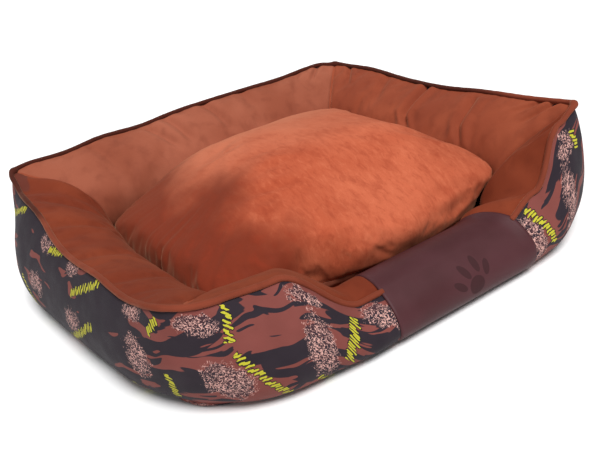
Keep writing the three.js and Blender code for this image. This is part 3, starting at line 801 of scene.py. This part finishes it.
VELOUR = velour_material("velour", srgb(134, 62, 40), srgb(152, 76, 51), srgb(88, 33, 20))
# A paler copy of the velour, painted light, for the back wall; a darker, redder copy with less sheen,
# painted shade, for the left and front walls
VELOUR_BACK_LIT = velour_material(
    "velour_back_lit", srgb(140, 74, 53), srgb(158, 90, 68), srgb(92, 38, 26), corner_tint
)
VELOUR_SHADED = velour_material(
    "velour_shaded", srgb(112, 46, 26), srgb(128, 58, 35), srgb(72, 22, 12), corner_tint, 0.14
)
PIPING = velour_material("piping", srgb(116, 53, 35), srgb(130, 62, 43), srgb(80, 31, 21), piping_painted_shade)
PLUSH = plush_material()
PRINT = print_material()
LEATHERETTE = leatherette_material()
BASE = dotted_fabric("base_fabric")
LINING = simple_fabric("lining", srgb(120, 60, 42), srgb(134, 70, 50))
LABEL = simple_fabric("label", srgb(222, 217, 206), srgb(236, 232, 223), 90.0, 9000.0, 0.6)
ZIP_TAPE = simple_fabric("zip_tape", srgb(88, 42, 31), srgb(102, 50, 38), 120.0, 11000.0)
ZIP_TEETH = hard_material("zip_teeth", srgb(92, 46, 34), srgb(106, 56, 42), 0.38, 0.0)
ZIP_METAL = hard_material("zip_metal", srgb(118, 108, 96), srgb(150, 140, 126), 0.30, 1.0)


def set_material(obj, material):
    obj.data.materials.clear()
    obj.data.materials.append(material)


def dress(obj, material, slot, body, *nodes):
    """Gives a piece its finish, hides the CAD nodes that it stands for, and hangs it on the body that it
    rides on.
    """
    set_material(obj, material)
    if nodes:
        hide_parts(*nodes)
    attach(obj, body)


# ---- the walls
STEP_S = 0.0065
OUTER_V = np.linspace(0, 1, 46)
INNER_V = np.linspace(0, 1, 60)
PIPING_RADIUS = 0.0046
CORNER_LAP, LAP_REACH = 3.5 * MM, 12 * MM


def places(s0, s1, step=STEP_S):
    return np.linspace(s0, s1, max(3, int(round((s1 - s0) / step)) + 1))


def outer_detail(s, v, length):
    """How far the outer panel stands out from its plain shape: soft dents, and puckers by its seams."""
    down = length[:, -1:] - length
    dents = 2.2 * MM * fbm(s / 0.11, length / 0.09, 11, 3)
    pucker = 0.9 * MM * noise(s / 0.014, 0.3 * s, 21) * np.exp(-down / 0.016)
    foot = 0.9 * MM * noise(s / 0.016, 0.3 * s, 22) * np.exp(-length / 0.02)
    hold = smooth(down / 0.05) * smooth(length / 0.02)
    return dents * hold + pucker + foot - RIM_TUCK * np.exp(-down / 0.005)


# Pinched folds of the inner panels: width and depth, and the places that the fold runs through, each
# in millimetres along the wall and from 0 to 1 down the panel
FOLDS = [
    (6, 15, [(752, 0.02), (752, 0.38), (722, 0.5)]),
    (7.5, 10, [(612, 0.1), (578, 0.38), (540, 0.52)]), (12, 5.5, [(880, 0.05), (866, 0.34)]),
    (12, 3.5, [(1180, 0.04), (1195, 0.36)]), (13, 5.5, [(1330, 0.03), (1318, 0.3)]),
    (9, 8.5, [(1425, 0.03), (1405, 0.42)]), (8, 9, [(1515, 0.06), (1500, 0.4)]),
    (7.5, 8, [(1565, 0.1), (1540, 0.4)]), (11, 4, [(1690, 0.05), (1700, 0.38)]),
    (5, 8, [(432, 0.01), (448, 0.22)]), (5, 6, [(462, 0.01), (486, 0.16)]),
    (5, 7, [(368, 0.01), (352, 0.2)]), (6, 7, [(1020, 0.01), (1002, 0.24)]),
    (6, 7, [(1115, 0.01), (1135, 0.22)]), (10, 3, [(-960, 0.1), (-945, 0.45)]),
    (9, 2.8, [(-840, 0.06), (-850, 0.42)]), (9, 2.8, [(-700, 0.05), (-712, 0.4)]),
    (9, 3, [(-570, 0.05), (-560, 0.45)]),
]
FOLD_BANK = 0.22  # how high the cloth stands beside a fold, as a share of its depth
SEAM_TUCK = 0.0075  # how deep the seams between the inner panels lie
RIM_TUCK = 2.4 * MM  # how far the panels turn in under the piping
BACK_LEFT = 2 * HALF_ROUND - BACK_CORNER  # the back left corner, reached past the back's middle
MITRES = (-BACK_CORNER, -HALF_FRONT, HALF_FRONT, BACK_CORNER, BACK_LEFT)


def fold_depth(s, v):
    """How deep the pinched folds are at a place, from 0 to 1 in each fold's middle, and in metres."""
    share, depth = 0.0, 0.0
    for width, deep, path in FOLDS:
        at, down = np.array(path).T
        away = (s - np.interp(v, down, at * MM)) / (width * MM)
        window = smooth((v - down[0]) / 0.08 + 0.6) * smooth((down[-1] - v) / 0.12 + 0.3)
        here = window * bell(away)
        share = np.maximum(share, here)
        depth = depth + deep * MM * (here - FOLD_BANK * window * bell((np.abs(away) - 3) / 1.6))
    return share, depth


def inner_detail(s, v, length):
    """How far an inner panel stands out from its plain shape, with its seams and folds."""
    dents = 2.2 * MM * fbm(s / 0.13, length / 0.10, 31, 2)
    ripples = 0.45 * MM * noise(s / 0.026 + 0.5 * noise(s / 0.2, length / 0.1, 43), length / 0.16, 41)
    pucker = 0.9 * MM * noise(s / 0.013, 0.3 * s, 51) * np.exp(-length / 0.014)
    hold = smooth(length / 0.05) * smooth((length[:, -1:] - length) / 0.05)
    total = (dents + ripples) * hold + pucker - RIM_TUCK * np.exp(-length / 0.005)
    near = np.min([np.abs(s - corner) for corner in MITRES], 0)
    total = total - SEAM_TUCK * np.exp(-near / 0.014) * smooth(length / 0.03) * hold
    # the left panel's fullness beside the back corner
    lobe = 0.010 * smooth((s + 1.085) / 0.03) * smooth((-0.93 - s) / 0.10) * bell((length - 0.10) / 0.06)
    return total + lobe - fold_depth(s, v)[1]


def swollen(face, held):
    """An inner panel's grid of points after its cloth has settled."""
    cloth = mesh_object("cloth", face, grid_quads(*face.shape[:2]))
    swell(cloth, held.ravel(), pressure=2.2, spare=0.011, bend=0.8, frames=14, cap=0.006)
    face = vertex_data(cloth.data).reshape(face.shape)
    bpy.data.meshes.remove(cloth.data)
    return face


def wall_panel(name, s0, s1, outer):
    """Half of a stuffed wall: its panel, and a flat side in the wall's middle."""
    if outer:
        skin, rows, detail = outer_skin, OUTER_V, outer_detail
    else:
        skin, rows, detail = inner_skin, INNER_V, inner_detail
    s = places(s0, s1)
    step = s[1] - s[0]
    s = np.concatenate([[s[0] - step], s, [s[-1] + step]])[:, None]
    v = rows[None, :]
    plain = skin(s, v)
    normal = grid_normals(plain)[1:-1]
    s, plain = s[1:-1], plain[1:-1]
    length = run_length(plain, 1)
    from_rim = (length[:, -1:] - length) if outer else length
    # the panels lap over each other a little at the top of the corners
    lap = np.exp(-from_rim / LAP_REACH) * CORNER_LAP
    ends = np.zeros_like(s)
    for i, side in ((0, -1), (-1, 1)):
        ends[i] = side * (np.min(np.abs(s[i] - np.array(MITRES))) < 2 * MM)
    plain = skin(s + ends * lap, v)
    face = plain + normal * detail(s, v, length)[..., None]
    if not outer:
        held = np.zeros(face.shape[:2], bool)
        held[[0, -1]] = held[:, [0, 1, -2, -1]] = True
        face = swollen(face, held | (fold_depth(s, v)[0] > 0.55))
    share = np.clip((face[..., 2] - FLOOR) / (rim_height(s) - FLOOR), 0, 1)
    middle = np.array(ring("middle", s))
    inward = np.array(ring("crown", s)) - middle
    x, y = middle + (0 if outer else MM) * inward / np.hypot(*inward)
    drop = mix(0.034, 0.014, lowness(s))
    back = joined(x, y - LOW_RIM_OUT * lowness(s) * share, FLOOR + (rim_height(s) - drop - FLOOR) * share)
    return shell(name, face, back, joined(s, -from_rim))


def finer(obj):
    made = obj.modifiers.new("finer", "SUBSURF")
    made.levels = made.render_levels = 1
    apply_modifiers(obj)
    all_smooth(obj)


GAP = 0.08 * MM  # left at each end of a panel, so that neighbours don't touch
# part of the name, both ends, and the inner panels' material; an outer panel stands for its stuffing too
OUTER_WALLS = [
    ("left_wrap", "left", -BACK_CORNER, ENTRY_LEFT),
    ("right_wrap", "right", ENTRY_RIGHT, BACK_CORNER),
    ("back", "back", BACK_CORNER, BACK_LEFT),
]
INNER_WALLS = [
    ("front_left", -HALF_FRONT, ENTRY_LEFT, VELOUR_SHADED),
    ("front_right", ENTRY_RIGHT, HALF_FRONT, VELOUR_SHADED),
    ("right", HALF_FRONT, BACK_CORNER, VELOUR),
    ("back", BACK_CORNER, BACK_LEFT, VELOUR_BACK_LIT),
    ("left", -BACK_CORNER, -HALF_FRONT, VELOUR_SHADED),
]


def wall(kind, name, s0, s1, material, slot, *nodes):
    obj = wall_panel(f"wall_{kind}_{name}", s0 + GAP, s1 - GAP, kind == "outer")
    finer(obj)
    dress(obj, material, slot, "bed", f"{kind}_panel_{name}", *nodes)


for name, fill, s0, s1 in OUTER_WALLS:
    wall("outer", name, s0, s1, PRINT, "printed_fabric", "bolster_fill_" + fill)
for name, s0, s1, material in INNER_WALLS:
    wall("inner", name, s0, s1, material, "velour")


def corner_seam(name, corner):
    """The velour's seam allowance behind the seam between two inner panels."""
    half_width, depth = 6 * MM, 1.5 * MM
    s = np.linspace(corner - half_width, corner + half_width, 7)[:, None]
    v = np.linspace(0.004, 0.97, 70)[None, :]
    plain = inner_skin(s, v)
    length = run_length(plain, 1)
    normal = grid_normals(plain)
    face = plain + normal * (inner_detail(s, v, length) - depth)[..., None]
    obj = shell("seam_" + name, face, face - normal * 0.9 * MM, joined(s, -length))
    dress(obj, VELOUR, "velour", "bed")


corner_seam("front_left", -HALF_FRONT)
corner_seam("front_right", HALF_FRONT)
corner_seam("back_right", BACK_CORNER)
corner_seam("back_left", -BACK_CORNER)


# ---- entry panel
ENTRY_LAP = 3 * MM  # how far the panel laps over the walls' ends


def entry_panel():
    """Leatherette over the low part of the front wall, from the floor outside to the floor inside."""
    s = places(ENTRY_LEFT - ENTRY_LAP, ENTRY_RIGHT + ENTRY_LAP, 0.003)[:, None]
    at_rim = 69  # how many rows lie outside, below the rim
    outside = outer_skin(s, np.linspace(0, 1, at_rim + 1)[None, :-1])
    inside = inner_skin(s, np.linspace(0, 1, 80)[None, :])
    plain = np.concatenate([outside, inside], 1)
    length = run_length(plain, 1)
    from_rim = length - length[:, at_rim : at_rim + 1]
    normal = grid_normals(plain)
    edge = np.minimum(s - s[0], s[-1] - s)
    lift = 1.4 * MM * np.sqrt(np.clip(edge / 0.002, 0, 1)) + 0.4 * MM
    soft = 0.7 * MM * fbm(s / 0.12, length / 0.10, 61, 2)
    tug = 0.5 * MM * noise(length / 0.018, 0 * s, 63) * np.exp(-edge / 0.012)
    stitch = -0.5 * MM * bell((edge - 0.007) / 0.0012)
    face = plain + normal * (lift + soft * smooth(edge / 0.02) + tug + stitch)[..., None]
    obj = shell("entry_cover", face, plain - normal * MM, joined(s, from_rim))
    dress(obj, LEATHERETTE, "leatherette", "bed", "entry_panel", "bolster_fill_front")


entry_panel()


# ---- piping
def rim_axes(s):
    """Across the rim and down from it, square to its run."""
    along = rim(s + 0.002) - rim(s - 0.002)
    along /= np.linalg.norm(along, axis=-1, keepdims=True)
    down = np.array([0, 0, -1.0]) + along * along[..., 2:3]
    down /= np.linalg.norm(down, axis=-1, keepdims=True)
    return np.cross(along, down), down


def piping():
    """The velour piping along the whole rim but the entry, gathered in waves and at three corners."""
    s = places(ENTRY_RIGHT - 2 * MM, 2 * HALF_ROUND + ENTRY_LEFT + 2 * MM, 0.0025)
    gather = 1 + 0.05 * noise(s / 0.011, 0 * s, 71) + 0.05 * noise(s / 0.05, 0 * s, 72)
    for corner in (-BACK_CORNER, HALF_FRONT, BACK_CORNER):
        gather = gather + 0.55 * bell(wrap(s - corner) / 0.009)
    sides = 14
    angle = np.arange(sides) * 2 * math.pi / sides
    radius = np.broadcast_to((PIPING_RADIUS * gather)[:, None], (len(s), sides))
    centre = rim(s)[:, None]
    across, down = (axis[:, None] for axis in rim_axes(s))
    out, below = radius * np.sin(angle), radius * np.cos(angle)
    loops = centre + across * out[..., None] + down * below[..., None]
    uv = joined(run_length(centre, 0), angle * radius).reshape(-1, 2)
    obj = stacked("rim_piping", loops, uv)
    dress(obj, PIPING, "velour", "bed", "piping_cover", "piping_cord")


piping()


# ---- cushion
CUSHION_HALF = (0.266, 0.220)
CUSHION_SEAM = 0.048
SEAM_GAP = 0.3 * MM
# height; drawn in; out over the entry; to the back; over the right bolster; corner radius, and the front
# right one's; its reach into the bed's corner; all in millimetres. The bottom first.
LEVELS = [
    (16.9, 38, 6, 0, 0, 44, 44, 0),
    (23, 14, 20, 0, 0, 50, 50, 0),
    (34, 2, 28, 0, 0, 55, 52, 4),
    (48, 0, 30, 0, 0, 55, 52, 6),
    (76, -1, 34, 0, 0, 55, 52, 8),
    (106, -1, 51, 0, 0, 55, 52, 16),
    (141, 0, 50, 1, 2, 58, 40, 28),
    (158, 14, 36, 3, 7, 64, 46, 31),
    (172, 38, 24, 6, 8, 78, 62, 27),
    (185, 76, 12, 10, 4, 96, 84, 15),
    (194, 130, 4, 14, 1, 80, 80, 6),
    (197, 180, 0, 16, 0, 36, 36, 2),
]
CUSHION_SLACK = 0.003  # how much smaller the cushion is drawn than its CAD solid, before it swells


def cushion_loop(z, inset, out, back, right, radius, sharp, reach, s):
    """The outline at one level: out over the entry, lower on the left and at the front right."""
    half_x, half_y = (half - inset - CUSHION_SLACK for half in CUSHION_HALF)
    x, y = outline(half_x, half_y, radius, radius, sharp, s, 1)
    over = smooth(1 - np.abs(x - 0.060) / 0.210) * smooth((-y / half_y - 0.3) / 0.7)
    corner = reach * smooth((x / half_x - 0.35) / 0.65) * smooth((-y / half_y - 0.35) / 0.65)
    drop = 0.45 * smooth((-x - 0.040) / 0.225)
    drop = drop + 0.40 * smooth((x + 0.150) / 0.170) * smooth((-y - 0.060) / 0.180)
    x = x + right * smooth(x / half_x) + corner
    y = y + back - out * over - corner
    high = z - max(0, z - CUSHION_SEAM) * drop
    return np.stack([x + MIDDLE.x, y + MIDDLE.y, high + 0 * x], -1)


def through(rows, count):
    """More rows, in metres, on a smooth curve through the given ones in millimetres."""
    rows = np.array(rows) * MM
    f = np.linspace(0, len(rows) - 1, count)
    i = np.minimum(f.astype(int), len(rows) - 2)
    u = (f - i)[:, None]
    a, b, c, d = (rows[np.clip(i + k, 0, len(rows) - 1)] for k in (-1, 0, 1, 2))
    return (
        (2 * u**3 - 3 * u**2 + 1) * b
        + (u**3 - 2 * u**2 + u) * (c - a) / 2
        + (-2 * u**3 + 3 * u**2) * c
        + (u**3 - u**2) * (d - b) / 2
    )


def cushion():
    """The stuffed cushion, swollen as one body and then cut in two at its seam."""
    s = np.linspace(-HALF_ROUND, HALF_ROUND, 241)[:-1]
    obj = stacked("cushion_top", np.array([cushion_loop(*row, s) for row in through(LEVELS, 64)]))
    remesh = obj.modifiers.new("remesh", "REMESH")
    remesh.mode = "VOXEL"
    remesh.voxel_size = 5.5 * MM
    obj.modifiers.new("smooth", "SMOOTH").iterations = 4
    apply_modifiers(obj)
    lies = vertex_data(obj.data)[:, 2] < 0.022  # on the bed's floor
    swell(obj, lies, pressure=3.0, spare=0.025, bend=1.5, cap=0.009)
    finer(obj)
    co, n = vertex_data(obj.data), vertex_data(obj.data, "normal")
    co = co + n * cushion_folds(co)[:, None]
    # flat behind the zip
    zip_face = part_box("zip_tape_upper")[0].y - 0.8 * MM
    co[:, 1] = np.minimum(co[:, 1], zip_face + 0.02 * smooth((co[:, 2] - 0.064) / 0.03))
    put_coordinates(obj.data, co)
    bottom = new_object("cushion_bottom", obj.data.copy())
    for piece, keep_above in ((obj, True), (bottom, False)):
        made = bmesh.new()
        made.from_mesh(piece.data)
        cut = CUSHION_SEAM + (SEAM_GAP if keep_above else -SEAM_GAP)
        bmesh.ops.bisect_plane(
            made,
            geom=[*made.verts, *made.edges, *made.faces],
            plane_co=(0, 0, cut),
            plane_no=(0, 0, 1),
            clear_inner=keep_above,
            clear_outer=not keep_above,
        )
        fill_holes(made)
        made.to_mesh(piece.data)
        made.free()
    dress(obj, PLUSH, "plush", "cushion", "cushion_top_cover", "cushion_fill")
    dress(bottom, LINING, "lining", "cushion", "cushion_bottom_cover")


def cushion_folds(co):
    """Pleats by the seam, soft creases over the top, and a tuck along the seam."""
    x, y, z = co[:, 0] - MIDDLE.x, co[:, 1] - MIDDLE.y, co[:, 2]
    round_it = np.arctan2(y / CUSHION_HALF[1], x / CUSHION_HALF[0])
    rho = (np.abs(x / CUSHION_HALF[0]) ** 4 + np.abs(y / CUSHION_HALF[1]) ** 4) ** 0.25
    above = smooth((z - CUSHION_SEAM) / 0.01)
    along = round_it * 0.28
    pleat = noise(along / 0.020 + 0.6 * noise(along / 0.07, rho * 3, 87), rho * 1.4 + z * 4, 81)
    pleat = pleat + 0.5 * noise(along / 0.010, rho * 2, 83)
    near_left = 0.35 + 0.65 * smooth((-x * 0.8 - y - 0.02) / 0.25)
    edge = smooth((rho - 0.50) / 0.42)
    total = 1.9 * MM * pleat * edge * near_left * above
    ridged = 1 - 2 * np.abs(fbm(x / 0.060 + 0.3 * y / 0.06, y / 0.085, 91, 3))
    front = 0.35 + 0.65 * smooth((-y + 0.12) / 0.22)
    total = total + 0.9 * MM * ridged * front * above * smooth((1.05 - rho) / 0.3)
    total = total + 3.0 * MM * fbm(x / 0.17, y / 0.15, 95, 2) * above * smooth((1.0 - rho) / 0.3)
    return total - 3.0 * MM * bell((z - CUSHION_SEAM) / 0.005)


cushion()


# ---- the bed's floor, under the cushion
def flat_piece(name, outline_name, inset, lean, rows, relief):
    """A thin closed body under an outline, and its edge: rows are shares of the way out and heights."""
    s = np.linspace(-HALF_ROUND, HALF_ROUND, 361)[:-1]
    x, y = ring(outline_name, s, -inset)
    x = x + lean * between(FOOT_LEAN, s)
    loops = []
    for share, z in rows:
        at_x, at_y = mix(MIDDLE.x, x, share), mix(MIDDLE.y, y, share)
        loops.append(np.stack([at_x, at_y, z + relief(at_x, at_y, s, share, z)], -1))
    return stacked(name, np.array(loops)), np.stack([x, y], -1)


def pad_relief(x, y, s, share, z):
    """Soft dents on top, and puckers along the edge seam."""
    on_top = z > 0.0149
    pucker = noise(s / 0.016, 0 * s, 121) * math.exp(-(1 - share) / 0.06)
    return on_top * (-0.9 * MM + 0.7 * MM * fbm(x / 0.08, y / 0.08, 123, 3) + 0.8 * MM * pucker)


def base_relief(x, y, s, share, z):
    return 0.25 * MM * (z > 0.001) * fbm(x / 0.07, y / 0.07, 127, 2)


def bed_floor():
    """The lining over its pad, and the fabric under the bed."""
    inwards = np.linspace(0.965, 0.04, 48)
    rows = [(0.04, 0.0024), (0.99, 0.0024), (1.0, 0.0050), (1.0, 0.0105), (0.99, 0.0146)]
    rows += [(share, 0.0160) for share in inwards]
    cover, _ = flat_piece("floor_cover", "floor_inner", 0.028, 0, rows, pad_relief)
    dress(cover, LINING, "lining", "bed", "floor_pad", "floor_lining")
    rows = [(0.04, 0.0001), (0.995, 0.0001), (1.0, 0.0006), (1.0, 0.0012), (0.995, 0.0016)]
    rows += [(share, 0.0016) for share in inwards]
    base, edge = flat_piece("base_sheet", "floor_outer", 0, 1, rows, base_relief)
    dress(base, BASE, "base_fabric", "bed", "base_fabric")


bed_floor()


# ---- care label
LABEL_AT = 1.270
LABEL_WIDTH = 0.034


def care_label():
    """A blank tag, sewn into the floor seam and lying up the back wall."""
    s = np.linspace(LABEL_AT - LABEL_WIDTH / 2, LABEL_AT + LABEL_WIDTH / 2, 19)[:, None]
    v = np.linspace(0.03, 0.34, 26)[None, :]
    plain = outer_skin(s, v)
    length = run_length(plain, 1)
    rows = OUTER_V[None, :]
    detail = outer_detail(s, rows, run_length(outer_skin(s, rows), 1))
    off = np.array([np.interp(v[0], OUTER_V, row) for row in detail]) + MM
    off += 0.35 * MM * noise(s / 0.02, length / 0.02, 141) + 1.2 * MM * smooth(length / 0.05) ** 2
    normal = grid_normals(plain)
    face = plain + normal * off[..., None]
    obj = shell("label_tag", face, face - normal * 0.5 * MM, joined(s, length))
    dress(obj, LABEL, "label", "bed", "care_label")


care_label()


# ---- zip in the cushion's back seam
def zip_tape(node):
    """A tape with the slight waves of woven cloth on its outer face."""
    lo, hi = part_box(node)
    x = np.linspace(lo.x, hi.x, 260)[None, :]
    z = np.linspace(lo.z, hi.z, 14)[:, None]
    y = hi.y - 0.15 * MM + 0.12 * MM * noise(x / 0.012, z / 0.008, 151)
    face = joined(x, y, z)
    back = joined(x, lo.y, z)
    obj = shell(node + "_cloth", face, back, face[..., [0, 2]])
    dress(obj, ZIP_TAPE, "zip_tape", "cushion", node)


TOOTH_PITCH = 2.5 * MM
# half of a tooth's section seen from above, in millimetres: across, and out from the tape
TOOTH = [(-0.95, 0.0), (-0.95, 1.1), (-0.55, 1.9), (0.55, 1.9), (0.95, 1.1), (0.95, 0.0)]


def zip_teeth(node, shift):
    """A row of bevelled teeth, shifted along by a share of their pitch."""
    lo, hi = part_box(node)
    count = int((hi.x - lo.x) / TOOTH_PITCH) - 1
    section = np.array(TOOTH) * MM
    points, quads = [], []
    for k in range(count):
        x = lo.x + TOOTH_PITCH * (k + 0.75 + shift)
        first = len(points)
        for z in (lo.z + 0.05 * MM, hi.z - 0.05 * MM):
            points += [(x + across, lo.y + out, z) for across, out in section]
        for i in range(6):
            j = (i + 1) % 6
            quads.append((first + j, first + i, first + i + 6, first + j + 6))
        for a, b, c, d in ((0, 1, 4, 5), (1, 2, 3, 4)):
            quads.append((first + a, first + b, first + c, first + d))
            quads.append((first + d + 6, first + c + 6, first + b + 6, first + a + 6))
    obj = mesh_object(node + "_row", points, quads, shade_smooth=False)
    rounded = obj.modifiers.new("rounded", "BEVEL")
    rounded.width = 0.15 * MM
    rounded.segments = 2
    apply_modifiers(obj)
    dress(obj, ZIP_TEETH, "zip_teeth", "cushion", node)


for node in ("zip_tape_upper", "zip_tape_lower"):
    zip_tape(node)
zip_teeth("zip_teeth_upper", 0.0)
zip_teeth("zip_teeth_lower", 0.5)
for node in ("zip_stop_closed_end", "zip_stop_open_end", "zip_slider", "zip_pull"):
    set_material(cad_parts[node], ZIP_METAL)


# ---- floor, light and camera
FLOOR_HALF = 90.0
FLOOR_DROP = 0.5 * MM


def make_floor():
    corners = [(-1, -1), (1, -1), (1, 1), (-1, 1)]
    points = [(x * FLOOR_HALF, y * FLOOR_HALF, -FLOOR_DROP) for x, y in corners]
    floor = mesh_object("floor", points, [(0, 1, 2, 3)])
    set_material(floor, Nodes("floor").finish((0.93, 0.93, 0.93, 1), 0.9, Specular_IOR_Level=0.05))


def light(name, kind, energy, towards, location=(0, 0, 0), **settings):
    data = bpy.data.lights.new(name, kind)
    data.energy = energy
    for key, value in settings.items():
        setattr(data, key, value)
    obj = new_object(name, data)
    obj.location = location
    obj.rotation_euler = Vector(towards).to_track_quat("-Z", "Y").to_euler()


def make_world(strength):
    world = bpy.data.worlds.new("studio")
    bpy.context.scene.world = world
    world.use_nodes = True
    sky = world.node_tree.nodes["Background"].inputs
    sky[0].default_value = (1, 1, 1, 1)
    sky[1].default_value = strength


CAMERA_TURN = (-29.86, 25.24, -10.43)  # degrees round the bed, up, and rolled
CAMERA_AT = (-0.6428, -1.1537, 0.6678)  # from the walls' middle on the floor


def make_camera():
    yaw, pitch, roll = (math.radians(a) for a in CAMERA_TURN)
    back = Vector((math.sin(yaw) * math.cos(pitch), -math.cos(yaw) * math.cos(pitch), math.sin(pitch)))
    level_right = (-back).cross(Vector((0, 0, 1))).normalized()
    level_up = level_right.cross(-back)
    right = level_right * math.cos(roll) + level_up * math.sin(roll)
    up = -level_right * math.sin(roll) + level_up * math.cos(roll)
    place = Vector(CAMERA_AT) + Vector((MIDDLE.x, MIDDLE.y, 0))
    data = bpy.data.cameras.new("camera")
    data.sensor_width = 36.0
    data.lens = 47.949
    obj = new_object("camera", data)
    turned = Matrix((right, up, back)).transposed()
    obj.matrix_world = Matrix.LocRotScale(place, turned, None)
    bpy.context.scene.camera = obj


make_floor()
make_world(0.31)
light("key", "SUN", 3.45, (0.14, 0.56, -1.0), angle=math.radians(28))
fill_at, fill_on = Vector((0.3, 2.2, 1.6)), Vector((0, 0, 0.1))
fill_size = {"shape": "RECTANGLE", "size": 2.0, "size_y": 1.2}
light("back_fill", "AREA", 12, fill_on - fill_at, fill_at, **fill_size)
make_camera()
bpy.context.scene.view_settings.view_transform = "Standard"
